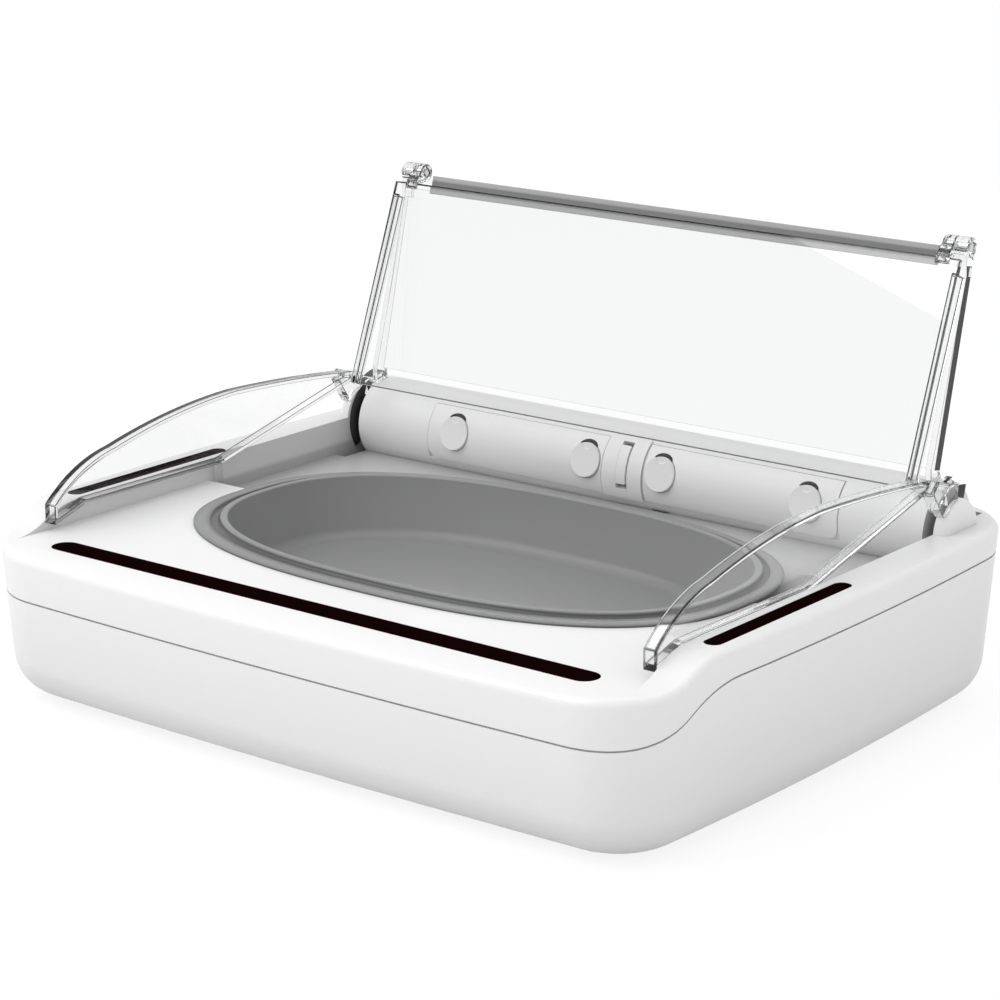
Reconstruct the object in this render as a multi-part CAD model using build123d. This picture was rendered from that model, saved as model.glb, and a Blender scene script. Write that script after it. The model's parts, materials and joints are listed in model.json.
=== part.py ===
from build123d import *
import math
import os

# Low, wide feeder with a sunk bowl under a folding two-panel lid. Millimetres.
# X is the width, -Y the front, Z up. The origin is the centre of the footprint on the floor.
# Left is -X and right is +X, as seen from the front.

# ---- casing ----
CASE_WIDTH = 305.7
CASE_DEPTH = 245.0
SIDE_BOW = 4.75
FRONT_BOW = 3.05
CORNER_RADIUS = 31.6
WALL_DRAFT = 4.12
WALL = 2.5
BASE_BOTTOM = 1.0
BASE_ROUND = 16.9
WIDEST_ABOVE_DECK = 1.0
TOP_EDGE_ROUND = 3.0

DECK_HEIGHT = 58.8
FRONT_SLOPE_DROP = 3.0
FRONT_SLOPE_LENGTH = 13.5
RAIL_RISE = 8.5
RAIL_WIDTH = 16.65
RISE_FROM_FRONT = 14.6
RISE_LENGTH = 31.0

SEAM_BELOW_DECK = 18.4
SEAM_BELOW_RAIL = 10.6
SEAM_FROM_FRONT = 3.6
SEAM_RISE_LENGTH = 51.0
SEAM_GAP = 0.7
SEAM_DEPTH = 0.9

POCKET_DROP = 5.5
POCKET_FRONT = -6.9
POCKET_BACK_GAP = 0.3
ARM_WELL_DROP = 9.0
ARM_WELL_REACH = 25.5

# ---- bowl ----
OVAL_POWER = 2.5
OVAL_POINTS = 32
FLANGE_HALF_WIDTH = 115.0
FLANGE_HALF_DEPTH = 70.0
FLANGE_CENTRE = -10.4
FLANGE_EDGE = 0.9
LIP_INSET_WIDTH = 10.5
LIP_INSET_DEPTH = 9.0
LIP_SHIFT = 2.0
LIP_RISE = 2.1
LIP_WIDTH = 2.0
BOWL_WALL = 2.0
BOWL_DEPTH = 21.6
BOWL_TAPER = 8.5
BOWL_FOOT_ROUND = 6.0
BOWL_SEAT_GAP = 1.0

# ---- barrel across the back ----
AXIS_FROM_BACK = 28.9
AXIS_ABOVE_DECK = 5.9
BARREL_RADIUS = 17.0
BARREL_WALL = 2.2
ARM_SLOT_WIDTH = 4.9
BARREL_END_WALL = 2.5
HUMP_WIDTH = 5.3
HUMP_RADIUS = 12.0
HUMP_FORWARD = 6.0
HUMP_SINK = 1.0
HUMP_ROUND = 3.0
COVER_SIDE_GAP = 0.6
COVER_END_INSET = 36.3
COVER_TOP_ANGLE = 38.5
COVER_BOTTOM_ANGLE = 116.0
COVER_RECESS = 0.8
COVER_PROUD = 0.3
COVER_GAP = 0.4
COVER_CORNER = 5.0
CAP_ANGLE = 75.5
CAP_RADIUS = 6.75
CAP_GAP = 0.25
CAP_PROUD = 1.0
CAP_DEPTH = 2.6
CAP_NOTCH = 1.3
CAP_OUTER_INSET = 13.1
CAP_INNER_INSET = 7.6
BAND_HALF = 9.2
BAND_THICK = 0.8
BAND_TOP_ANGLE = 34.0
BAND_BOTTOM_ANGLE = 117.0
LEVER_SLOT_HALF = 2.6
LEVER_SLOT_TOP = 42.0
LEVER_SLOT_BOTTOM = 104.0
LEVER_GAP = 0.4
LEVER_THICK = 2.6
LEVER_PROUD = 1.4
LEVER_PIN_RADIUS = 1.0
LEVER_PIN_ANGLE = 95.0
LEVER_PIN_DISTANCE = 13.2
LEVER_EYE = 2.2
LEVER_PIN_HALF = 7.0
LEVER_EAR_GAP = 0.3
LEVER_EAR = 2.0

# ---- side windows and front window ----
FRONT_WINDOW_FROM_FRONT = 19.4
FRONT_WINDOW_WIDTH = 10.4
FRONT_WINDOW_INSET = 32.2
SIDE_WINDOW_OFFSET = 6.6
SIDE_WINDOW_WIDTH = 6.3
SIDE_WINDOW_START = 2.4
SIDE_WINDOW_LENGTH = 82.6
WINDOW_FLANGE = 0.9
WINDOW_FLANGE_THICK = 1.0
WINDOW_GAP = 0.15

# ---- side guides ----
GUIDE_THICK = 1.5
GUIDE_FLANGE = 3.7
GUIDE_TIP_AHEAD = 16.3
GUIDE_TIP_BELOW_RAIL = 5.8
GUIDE_TIP_HIGH = 7.2
GUIDE_EDGE_INSET = 1.0
GUIDE_BEND_PAST_POCKET = 3.0
GUIDE_BEND_BELOW_RAIL = 1.3
GUIDE_END_AHEAD = 21.0
GUIDE_END_ABOVE_RAIL = 16.7
GUIDE_END_DEEP = 3.8
# Places on the arch: the share of the way from the tip to the end, and the height above the rail.
GUIDE_ARCH = [(0.08, 10.9), (0.19, 16.8), (0.37, 22.7), (0.587, 25.6), (0.804, 23.7)]
GUIDE_PIN_PAST_BEND = 1.0
GUIDE_PIN_RADIUS = 1.6
GUIDE_FOOT_WIDTH = 3.6
GUIDE_FOOT_AHEAD = 7.5
GUIDE_FOOT_DROP = 14.0

# ---- folding lid ----
CRANK_LENGTH = 100.9
CRANK_LEAN = 7.4
REAR_PANEL_LEAN = 13.65
FRONT_PANEL_LEAN = 20.86
REAR_FACE_BEHIND_FOLD = 2.8
FRONT_FACE_AHEAD_OF_FOLD = 6.0
LID_SIDE_GAP = 1.8
LID_THICK = 2.0
FLANGE_THICK = 2.4
REAR_PANEL_TOP = 6.8
REAR_PANEL_BOTTOM = 80.0
REAR_FLANGE_TOP_DEPTH = 2.9
REAR_FLANGE_BOTTOM_DEPTH = 6.2
FRONT_PANEL_TOP = 5.5
FRONT_PANEL_LENGTH = 88.5
FRONT_FLANGE_START = 11.0
FRONT_FLANGE_TOP_DEPTH = 6.4
FRONT_FLANGE_TIP_DEPTH = 5.4
KNUCKLE_RADIUS = 3.6
KNUCKLE_LENGTH = 10.2
KNUCKLE_GAP = 0.3
FOLD_PIN_RADIUS = 1.5
RUNNING_FIT = 0.06
STRIP_END_GAP = 3.0
STRIP_TOP = 0.7
STRIP_THICK = 3.0
STRIP_SLOT = 1.2
PEG_AHEAD = 2.7
PEG_FROM_TIP = 1.8
PEG_RADIUS = 1.9
PEG_REACH = 1.1
ARM_THICK = 2.5
ARM_SIDE_GAP = 0.9
ARM_EYE = 10.6
ARM_HALF = 4.6
ARM_ANGLE = 20.0
ARM_BRIDGE_INNER = 17.8
ARM_BRIDGE_OUTER = 20.5
ARM_BRIDGE_SWEEP = 12.0

# ---- drive ----
SHAFT_RADIUS = 4.0
SHAFT_END_GAP = 0.4
BUSH_RADIUS = 6.0
BUSH_LENGTH = 4.0
BUSH_FIT = 0.05
HUB_HALF = 5.5
HUB_FIT = 0.1
GEAR_MODULE = 1.0
DRIVE_TEETH = 20
IDLER_TEETH = 24
PINION_TEETH = 12
GEAR_START = 12.5
GEAR_WIDTH = 6.0
TOOTH_TIP = 0.8
TOOTH_ROOT = 1.2
TOOTH_SHARE = 0.41
TOOTH_TIP_SHARE = 0.24
TOOTH_ROOT_SHARE = 0.56
PINION_ANGLE = 8.6
IDLER_AXLE_RADIUS = 2.0
MOTOR_SHAFT_RADIUS = 1.5
CHEEK_THICK = 2.0
CHEEK_GAP = 1.0
CHEEK_AHEAD = 29.5
CHEEK_BEHIND = 10.5
CHEEK_TOP_GAP = 0.4
MOTOR_HALF = 9.8
GEARBOX_LENGTH = 14.0
MOTOR_LENGTH = 17.0
MOTOR_RADIUS = 9.0

# ---- batteries ----
CELL_RADIUS = 13.1
CELL_LENGTH = 50.0
CELL_GAP = 0.3
CELL_FROM_BACK = 41.9
BAY_INNER = 23.7
CONTACT_THICK = 1.0
CONTACT_RADIUS = 8.0
TRAY_WALL = 1.8
DOOR_LIP = 1.2
DOOR_GAP = 0.3
DOOR_FINGER_WIDTH = 16.0
DOOR_FINGER_DEPTH = 1.2

# ---- electronics and controls ----
BOARD_THICK = 1.6
CONTROL_BOARD_WIDTH = 104.0
CONTROL_BOARD_DEPTH = 62.0
CONTROL_BOARD_Y = -20.0
STANDOFF_HIGH = 5.0
STANDOFF_RADIUS = 3.0
STANDOFF_INSET = 5.0
CHIP_SIZE = 16.0
CHIP_HIGH = 2.0
RELAY_X = 30.0
RELAY_LENGTH = 16.0
RELAY_WIDTH = 12.0
RELAY_HIGH = 11.0
SOUNDER_X = -32.0
SOUNDER_BACK = 10.0
SOUNDER_RADIUS = 6.0
SOUNDER_HIGH = 6.0
PLUG_X = -28.0
PLUG_BACK = -23.5
PLUG_LENGTH = 24.0
PLUG_WIDTH = 7.0
PLUG_HIGH = 7.0
CAPACITOR_X = [10.0, 20.0, 30.0]
CAPACITOR_BACK = 20.0
CAPACITOR_RADIUS = 3.0
CAPACITOR_HIGH = 9.0
LED_RADIUS = 2.5
LED_HIGH = 5.2
FRONT_BOARD_WIDTH = 184.0
FRONT_BOARD_DEPTH = 27.0
FRONT_BOARD_DROP = 6.5
FRONT_LED_PITCH = 32.0
FRONT_LED_COUNT = 6
SIDE_BOARD_WIDTH = 8.0
SIDE_BOARD_DROP = 6.5
SIDE_LED_PITCH = 44.0
PANEL_HALF = 42.0
PANEL_BEHIND_POCKET = 5.8
PANEL_DEPTH = 6.8
PANEL_THICK = 1.0
BUTTON_RADIUS = 2.3
BUTTON_LENGTH = 11.0
BUTTON_COLLAR = 0.7
BUTTON_COLLAR_THICK = 1.0
BUTTON_GAP = 0.3
BUTTON_PROUD = 1.4
BUTTON_TRAVEL = 1.0
OPEN_BUTTON_X = -26.0
MODE_BUTTON_X = -6.0
SWITCH_X = 22.0
SWITCH_TRAVEL = 8.0
SWITCH_LENGTH = 6.0
SWITCH_WIDTH = 3.0
SWITCH_PROUD = 1.6
BUTTON_BOARD_DROP = 8.2
BUTTON_BOARD_WIDTH = 4.8
TACT_SIZE = 5.0

# ---- feet and screws ----
FOOT_RADIUS = 7.0
FOOT_SINK = 1.0
FRONT_FOOT_INSET = 34.8
FRONT_FOOT_FROM_FRONT = 34.6
BACK_FOOT_INSET = 29.8
BACK_FOOT_AHEAD_OF_CELLS = 39.0
FRONT_SCREW_INSET = 28.8
FRONT_SCREW_FROM_FRONT = 58.6
MIDDLE_SCREW_INSET = 26.8
MIDDLE_SCREW_Y = 10.0
BACK_SCREW_INSET = 27.8
BACK_SCREW_AHEAD_OF_CELLS = 23.0
SCREW_RADIUS = 1.5
SCREW_HEAD = 3.0
SCREW_HEAD_HIGH = 2.2
SCREW_SINK = 2.0
SCREW_GAP = 0.2
SCREW_BITE = 10.0
BOSS_RADIUS = 4.6
BOSS_JOIN = 26.0

REACH = 400.0

# ---- values worked out from the sizes above ----
BASE_FLOOR = BASE_BOTTOM + WALL
CASE_SIDE = CASE_WIDTH / 2
CASE_BACK = CASE_DEPTH / 2
RAIL_HEIGHT = DECK_HEIGHT + RAIL_RISE
RAIL_INNER = CASE_SIDE - RAIL_WIDTH
WIDEST_HEIGHT = DECK_HEIGHT + WIDEST_ABOVE_DECK
RAIL_RISE_FRONT = RISE_FROM_FRONT - CASE_BACK
RAIL_RISE_BACK = RAIL_RISE_FRONT + RISE_LENGTH
SEAM_FRONT_HEIGHT = DECK_HEIGHT - SEAM_BELOW_DECK
SEAM_BACK_HEIGHT = RAIL_HEIGHT - SEAM_BELOW_RAIL
SEAM_RISE_FRONT = SEAM_FROM_FRONT - CASE_BACK
SEAM_RISE_BACK = SEAM_RISE_FRONT + SEAM_RISE_LENGTH
AXIS_Y = CASE_BACK - AXIS_FROM_BACK
AXIS_Z = DECK_HEIGHT + AXIS_ABOVE_DECK
POCKET_HEIGHT = DECK_HEIGHT - POCKET_DROP
POCKET_BACK = AXIS_Y + BARREL_RADIUS + POCKET_BACK_GAP
ARM_WELL_HEIGHT = DECK_HEIGHT - ARM_WELL_DROP
ARM_WELL_FRONT = AXIS_Y - ARM_WELL_REACH
LIP_HALF_WIDTH = FLANGE_HALF_WIDTH - LIP_INSET_WIDTH
LIP_HALF_DEPTH = FLANGE_HALF_DEPTH - LIP_INSET_DEPTH
LIP_CENTRE = FLANGE_CENTRE + LIP_SHIFT
LIP_HEIGHT = DECK_HEIGHT + LIP_RISE
BOWL_FLOOR = LIP_HEIGHT - BOWL_DEPTH
BARREL_END = RAIL_INNER - ARM_SLOT_WIDTH
HUMP_OUTER = RAIL_INNER + HUMP_WIDTH
HUMP_Y = AXIS_Y - HUMP_FORWARD
HUMP_Z = RAIL_HEIGHT - HUMP_SINK
COVER_INNER = BAND_HALF + COVER_SIDE_GAP
COVER_OUTER = BARREL_END - COVER_END_INSET
CAP_OUTER_X = COVER_OUTER - CAP_OUTER_INSET
CAP_INNER_X = COVER_INNER + CAP_INNER_INSET
FRONT_WINDOW_Y = FRONT_WINDOW_FROM_FRONT - CASE_BACK
FRONT_WINDOW_HALF = CASE_SIDE - FRONT_WINDOW_INSET
SIDE_WINDOW_X = RAIL_INNER + SIDE_WINDOW_OFFSET
SIDE_WINDOW_FRONT = RAIL_RISE_BACK + SIDE_WINDOW_START
SIDE_WINDOW_BACK = SIDE_WINDOW_FRONT + SIDE_WINDOW_LENGTH
GUIDE_TIP_Y = RAIL_RISE_BACK - GUIDE_TIP_AHEAD
GUIDE_TIP_Z = RAIL_HEIGHT - GUIDE_TIP_BELOW_RAIL
GUIDE_BEND_Y = POCKET_FRONT + GUIDE_BEND_PAST_POCKET
GUIDE_BEND_Z = RAIL_HEIGHT - GUIDE_BEND_BELOW_RAIL
GUIDE_END_Y = AXIS_Y - GUIDE_END_AHEAD
GUIDE_END_LOW = RAIL_HEIGHT + GUIDE_END_ABOVE_RAIL
GUIDE_END_HIGH = GUIDE_END_LOW + GUIDE_END_DEEP
GUIDE_PIN_Y = GUIDE_BEND_Y + GUIDE_PIN_PAST_BEND
GUIDE_FOOT_BACK = AXIS_Y - GUIDE_FOOT_AHEAD
LID_HALF = BARREL_END - LID_SIDE_GAP
KNUCKLE_INNER = LID_HALF - KNUCKLE_LENGTH
STRIP_HALF = KNUCKLE_INNER - STRIP_END_GAP
PEG_DOWN = FRONT_PANEL_LENGTH - PEG_FROM_TIP
CELL_Y = CASE_BACK - CELL_FROM_BACK
PANEL_Y = POCKET_BACK + PANEL_BEHIND_POCKET
CHEEK_FRONT = AXIS_Y - CHEEK_AHEAD
CHEEK_BACK = AXIS_Y + CHEEK_BEHIND
FOOT_PLACES = [(CASE_SIDE - FRONT_FOOT_INSET, FRONT_FOOT_FROM_FRONT - CASE_BACK),
               (CASE_SIDE - BACK_FOOT_INSET, CELL_Y - BACK_FOOT_AHEAD_OF_CELLS)]
SCREW_PLACES = [(CASE_SIDE - FRONT_SCREW_INSET, FRONT_SCREW_FROM_FRONT - CASE_BACK),
                (CASE_SIDE - MIDDLE_SCREW_INSET, MIDDLE_SCREW_Y),
                (CASE_SIDE - BACK_SCREW_INSET, CELL_Y - BACK_SCREW_AHEAD_OF_CELLS)]
FOLD_Y = AXIS_Y + CRANK_LENGTH * math.sin(math.radians(CRANK_LEAN))
FOLD_Z = AXIS_Z + CRANK_LENGTH * math.cos(math.radians(CRANK_LEAN))
GUIDE_INNER = RAIL_INNER - GUIDE_THICK - GUIDE_FLANGE
ARM_INNER = BARREL_END + ARM_SIDE_GAP
ARM_OUTER = ARM_INNER + ARM_THICK
BARREL_BORE = BARREL_RADIUS - BARREL_WALL
SHAFT_END = RAIL_INNER + BUSH_LENGTH - SHAFT_END_GAP
GEAR_END = GEAR_START + GEAR_WIDTH
NEAR_CHEEK = GEAR_START - CHEEK_GAP - CHEEK_THICK
FAR_CHEEK = GEAR_END + CHEEK_GAP + CHEEK_THICK
DRIVE_PITCH = GEAR_MODULE * DRIVE_TEETH / 2
IDLER_PITCH = GEAR_MODULE * IDLER_TEETH / 2
PINION_PITCH = GEAR_MODULE * PINION_TEETH / 2
IDLER_Z = AXIS_Z - DRIVE_PITCH - IDLER_PITCH
IDLER_PHASE = math.pi / 2 + math.pi / IDLER_TEETH
PINION_Y = AXIS_Y - (IDLER_PITCH + PINION_PITCH) * math.cos(math.radians(PINION_ANGLE))
PINION_Z = IDLER_Z - (IDLER_PITCH + PINION_PITCH) * math.sin(math.radians(PINION_ANGLE))
CELL_Z = BASE_FLOOR + CELL_GAP + CELL_RADIUS
BAY_LENGTH = 2 * (CELL_LENGTH + CELL_GAP + CONTACT_THICK)
BAY_OUTER = BAY_INNER + BAY_LENGTH
BAY_FRONT = CELL_Y - CELL_RADIUS - CELL_GAP
BAY_BACK = CELL_Y + CELL_RADIUS + CELL_GAP
BAY_TOP = CELL_Z + CELL_RADIUS + CELL_GAP
RAIL_UNDERSIDE = RAIL_HEIGHT - WALL
DECK_UNDERSIDE = DECK_HEIGHT - WALL
POCKET_UNDERSIDE = POCKET_HEIGHT - WALL


# ---- helpers ----
def block(x0, x1, y0, y1, z0, z1):
    """A box between two corners."""
    return Pos((x0 + x1) / 2, (y0 + y1) / 2, (z0 + z1) / 2) * Box(x1 - x0, y1 - y0, z1 - z0)


def rod(y, z, radius, x0, x1):
    """A cylinder along X between two places."""
    return Pos((x0 + x1) / 2, y, z) * Rot(0, 90, 0) * Cylinder(radius, x1 - x0)


def post(x, y, radius, z0, z1):
    """An upright cylinder between two heights."""
    return Pos(x, y, (z0 + z1) / 2) * Cylinder(radius, z1 - z0)


def slab(profile, x0, x1):
    """A profile drawn in Y and Z, thickened along X between two places."""
    return extrude(Plane.YZ.offset(x0) * profile, amount=x1 - x0, dir=(1, 0, 0))


def flat(*points):
    """A straight-sided face."""
    return make_face(Polyline(*points, close=True))


def both(part):
    """A right-hand piece and its mirror image, as two separate solids."""
    return [part, mirror(part, about=Plane.YZ)]


def left(part):
    """The left-hand twin of a right-hand piece."""
    return mirror(part, about=Plane.YZ)


def around_axis(radius, angle):
    """The Y and Z of a place round the barrel's axis, its angle counted from the top to the front."""
    turn = math.radians(angle)
    return (AXIS_Y - radius * math.sin(turn), AXIS_Z + radius * math.cos(turn))


def curved_plate(inner, outer, top_angle, bottom_angle, x0, x1):
    """A plate that follows the barrel between two radii and two angles."""
    middle = (top_angle + bottom_angle) / 2
    out = ThreePointArc(around_axis(outer, top_angle), around_axis(outer, middle),
                        around_axis(outer, bottom_angle))
    back = ThreePointArc(around_axis(inner, bottom_angle), around_axis(inner, middle),
                         around_axis(inner, top_angle))
    ends = [Line(out @ 1, back @ 0), Line(back @ 1, out @ 0)]
    return slab(make_face([out, back, *ends]), x0, x1)


def rising_curve(y0, z0, y1, z1):
    """Two equal arcs that leave one level and reach another, both level at the ends."""
    middle = ((y0 + y1) / 2, (z0 + z1) / 2)
    lower = TangentArc((y0, z0), middle, tangent=(1, 0))
    upper = TangentArc(middle, (y1, z1), tangent=lower % 1)
    return [lower, upper]


def below(y0, z0, y1, z1, shift):
    """Everything under a surface that rises once from front to back."""
    curve = rising_curve(y0, z0 + shift, y1, z1 + shift)
    edges = Polyline((y1, z1 + shift), (REACH, z1 + shift), (REACH, -REACH), (-REACH, -REACH),
                     (-REACH, z0 + shift), (y0, z0 + shift))
    return slab(make_face([*curve, edges]), -REACH, REACH)


def under_top(shift):
    """Everything under the casing's top: a front slope, the level deck, and the rise to the rails."""
    slope_end = FRONT_SLOPE_LENGTH - CASE_BACK
    slope = TangentArc((slope_end, DECK_HEIGHT + shift), (-CASE_BACK, DECK_HEIGHT - FRONT_SLOPE_DROP + shift),
                       tangent=(-1, 0))
    front = slope @ 1
    deck = Line((slope_end, DECK_HEIGHT + shift), (RAIL_RISE_FRONT, DECK_HEIGHT + shift))
    rise = rising_curve(RAIL_RISE_FRONT, DECK_HEIGHT + shift, RAIL_RISE_BACK, RAIL_HEIGHT + shift)
    edges = Polyline((RAIL_RISE_BACK, RAIL_HEIGHT + shift), (REACH, RAIL_HEIGHT + shift), (REACH, -REACH),
                     (-REACH, -REACH), (-REACH, front.Y), (front.X, front.Y))
    return slab(make_face([slope, deck, *rise, edges]), -REACH, REACH)


def group(solids):
    """Several separate solids as one node."""
    return Compound(children=list(solids))


# ---- casing ----
def case_outline(inset, height):
    """The casing's bowed outline at a height, moved in by a distance."""
    draft = (WIDEST_HEIGHT - height) * math.tan(math.radians(WALL_DRAFT))
    half_width = CASE_WIDTH / 2 - draft - inset
    half_depth = CASE_DEPTH / 2 - draft - inset
    corner_x = half_width - SIDE_BOW
    corner_y = half_depth - FRONT_BOW
    edges = [
        ThreePointArc((-corner_x, -corner_y), (0, -half_depth), (corner_x, -corner_y)),
        ThreePointArc((corner_x, -corner_y), (half_width, 0), (corner_x, corner_y)),
        ThreePointArc((corner_x, corner_y), (0, half_depth), (-corner_x, corner_y)),
        ThreePointArc((-corner_x, corner_y), (-half_width, 0), (-corner_x, -corner_y)),
    ]
    face = make_face(edges)
    return Pos(0, 0, height) * fillet(face.vertices(), CORNER_RADIUS - draft - inset)


def case_block(inset, bottom):
    """The drafted outer form of the casing, from its rounded bottom to the top of the rails."""
    form = loft([case_outline(inset, bottom), case_outline(inset, RAIL_HEIGHT)], ruled=True)
    bottom_edges = form.faces().sort_by(Axis.Z)[0].edges()
    return fillet(bottom_edges, BASE_ROUND - inset)


def under_seam(shift):
    """Everything below the parting line, moved up or down."""
    return below(SEAM_RISE_FRONT, SEAM_FRONT_HEIGHT, SEAM_RISE_BACK, SEAM_BACK_HEIGHT, shift)


def oval(half_x, half_y, centre, height):
    """A superellipse face."""
    points = []
    for step in range(OVAL_POINTS):
        angle = 2 * math.pi * step / OVAL_POINTS
        along = math.cos(angle)
        across = math.sin(angle)
        x = half_x * math.copysign(abs(along) ** (2 / OVAL_POWER), along)
        y = half_y * math.copysign(abs(across) ** (2 / OVAL_POWER), across)
        points.append((x, centre + y))
    return Pos(0, 0, height) * make_face(Spline(*points, periodic=True))


def bowl_form(grow, floor, top):
    """The tapered oval well of the bowl's inside, grown outwards by a distance."""
    slope = BOWL_TAPER / (LIP_HEIGHT - BOWL_FLOOR)
    low = grow - slope * (LIP_HEIGHT - floor)
    high = grow - slope * (LIP_HEIGHT - top)
    bottom = oval(LIP_HALF_WIDTH + low, LIP_HALF_DEPTH + low, LIP_CENTRE, floor)
    upper = oval(LIP_HALF_WIDTH + high, LIP_HALF_DEPTH + high, LIP_CENTRE, top)
    return loft([bottom, upper], ruled=True)


def is_top_rim(edge, lowest):
    """Whether an edge runs round the top of the casing, not across it."""
    across = edge.geom_type == GeomType.LINE
    return edge.bounding_box().min.Z > lowest - SEAM_GAP and not across


def upper_form(skin):
    """The solid form under the upper housing's outer surface, moved in by a skin."""
    form = case_block(skin, BASE_BOTTOM) & under_top(-skin)
    rim = [edge for edge in form.edges() if is_top_rim(edge, DECK_HEIGHT - FRONT_SLOPE_DROP - skin)]
    form = fillet(rim, TOP_EDGE_ROUND - skin)
    deck = block(-RAIL_INNER - skin, RAIL_INNER + skin, -CASE_DEPTH, POCKET_BACK + skin,
                 DECK_HEIGHT - skin, REACH)
    pocket = block(-RAIL_INNER - skin, RAIL_INNER + skin, POCKET_FRONT - skin, POCKET_BACK + skin,
                   POCKET_HEIGHT - skin, DECK_HEIGHT)
    upstand = BOWL_WALL + BOWL_SEAT_GAP + WALL - skin
    pocket -= bowl_form(upstand, BOWL_FLOOR, LIP_HEIGHT)
    for side in both(block(BARREL_END - skin, RAIL_INNER + skin, ARM_WELL_FRONT - skin,
                           POCKET_BACK + skin, ARM_WELL_HEIGHT - skin, DECK_HEIGHT)):
        form -= side
    well_floor = BOWL_FLOOR - BOWL_WALL - BOWL_SEAT_GAP - skin
    well = bowl_form(BOWL_WALL + BOWL_SEAT_GAP + skin, well_floor, LIP_HEIGHT)
    return form - deck - pocket - well


def lower_shell():
    """Drafted tray with bosses, standoffs, battery openings and pockets for the feet."""
    shell = case_block(0, BASE_BOTTOM) - case_block(WALL, BASE_FLOOR)
    for place in SCREW_PLACES:
        for boss in both(post(*place, BOSS_RADIUS, BASE_BOTTOM, BOSS_JOIN)):
            shell += boss
    for place in board_corners():
        shell += post(*place, STANDOFF_RADIUS, BASE_BOTTOM, BASE_FLOOR + STANDOFF_HIGH)
    for place in SCREW_PLACES:
        head = post(*place, SCREW_HEAD + SCREW_GAP, 0, BASE_BOTTOM + SCREW_SINK + SCREW_HEAD_HIGH)
        hole = post(*place, SCREW_RADIUS + SCREW_GAP, 0, REACH)
        for cut in both(head + hole):
            shell -= cut
    for place in FOOT_PLACES:
        for cut in both(post(*place, FOOT_RADIUS, 0, BASE_BOTTOM + FOOT_SINK)):
            shell -= cut
    for cut in both(block(BAY_INNER, BAY_OUTER, BAY_FRONT, BAY_BACK, 0, BASE_FLOOR)):
        shell -= cut
    for cut in both(block(BAY_INNER - DOOR_LIP, BAY_OUTER + DOOR_LIP, BAY_FRONT - DOOR_LIP,
                          BAY_BACK + DOOR_LIP, 0, BASE_BOTTOM + WALL / 2)):
        shell -= cut
    return shell & under_seam(0)


def round_ended(x0, x1, y0, y1, z0, z1):
    """An upright block whose two shorter sides are half-round."""
    radius = min(x1 - x0, y1 - y0) / 2
    if x1 - x0 > y1 - y0:
        middle = (y0 + y1) / 2
        ends = post(x0 + radius, middle, radius, z0, z1) + post(x1 - radius, middle, radius, z0, z1)
        return block(x0 + radius, x1 - radius, y0, y1, z0, z1) + ends
    middle = (x0 + x1) / 2
    ends = post(middle, y0 + radius, radius, z0, z1) + post(middle, y1 - radius, radius, z0, z1)
    return block(x0, x1, y0 + radius, y1 - radius, z0, z1) + ends


def window_cut(x0, x1, y0, y1, top):
    """The slot for a window that is pushed up from behind."""
    return round_ended(x0 - WINDOW_GAP, x1 + WINDOW_GAP, y0 - WINDOW_GAP, y1 + WINDOW_GAP,
                       top - WALL, top + WALL)


def upper_housing():
    """Deck, rails, rear pocket and bowl well in one moulding, with its screw bosses."""
    housing = upper_form(0) - upper_form(WALL)
    housing -= under_seam(0) - case_block(WALL, BASE_BOTTOM)
    housing -= under_seam(SEAM_GAP) - case_block(SEAM_DEPTH, BASE_BOTTOM)
    for x, y in SCREW_PLACES:
        top = DECK_UNDERSIDE if y < POCKET_FRONT else POCKET_UNDERSIDE
        boss = post(x, y, BOSS_RADIUS, BOSS_JOIN, top + WALL / 2)
        boss -= post(x, y, SCREW_RADIUS + SCREW_GAP, BOSS_JOIN, BOSS_JOIN + SCREW_BITE + SCREW_GAP)
        for piece in both(boss):
            housing += piece
    for x, y in front_board_posts():
        housing += post(x, y, STANDOFF_RADIUS, DECK_UNDERSIDE - FRONT_BOARD_DROP, DECK_UNDERSIDE + WALL / 2)
    for y in side_board_posts():
        for piece in both(post(SIDE_WINDOW_X, y, STANDOFF_RADIUS / 2,
                               RAIL_UNDERSIDE - SIDE_BOARD_DROP, RAIL_UNDERSIDE + WALL / 2)):
            housing += piece
    housing -= window_cut(-FRONT_WINDOW_HALF, FRONT_WINDOW_HALF, FRONT_WINDOW_Y - FRONT_WINDOW_WIDTH / 2,
                          FRONT_WINDOW_Y + FRONT_WINDOW_WIDTH / 2, DECK_HEIGHT)
    for cut in both(window_cut(SIDE_WINDOW_X - SIDE_WINDOW_WIDTH / 2, SIDE_WINDOW_X + SIDE_WINDOW_WIDTH / 2,
                               SIDE_WINDOW_FRONT, SIDE_WINDOW_BACK, RAIL_HEIGHT)):
        housing -= cut
    for cut in both(rod(AXIS_Y, AXIS_Z, BUSH_RADIUS + BUSH_FIT, RAIL_INNER - WALL, RAIL_INNER + BUSH_LENGTH)):
        housing -= cut
    housing -= block(GEAR_START - CHEEK_GAP, GEAR_END + CHEEK_GAP, AXIS_Y - IDLER_PITCH - 2 * TOOTH_TIP,
                     AXIS_Y + IDLER_PITCH + 2 * TOOTH_TIP, POCKET_UNDERSIDE - WALL, POCKET_HEIGHT + WALL)
    housing -= panel_plate(0)
    for x in (OPEN_BUTTON_X, MODE_BUTTON_X):
        housing -= pill(x, BUTTON_GAP, RAIL_UNDERSIDE - WALL, RAIL_HEIGHT)
    housing -= switch_slot(RAIL_UNDERSIDE - WALL, RAIL_HEIGHT)
    return housing


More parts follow.
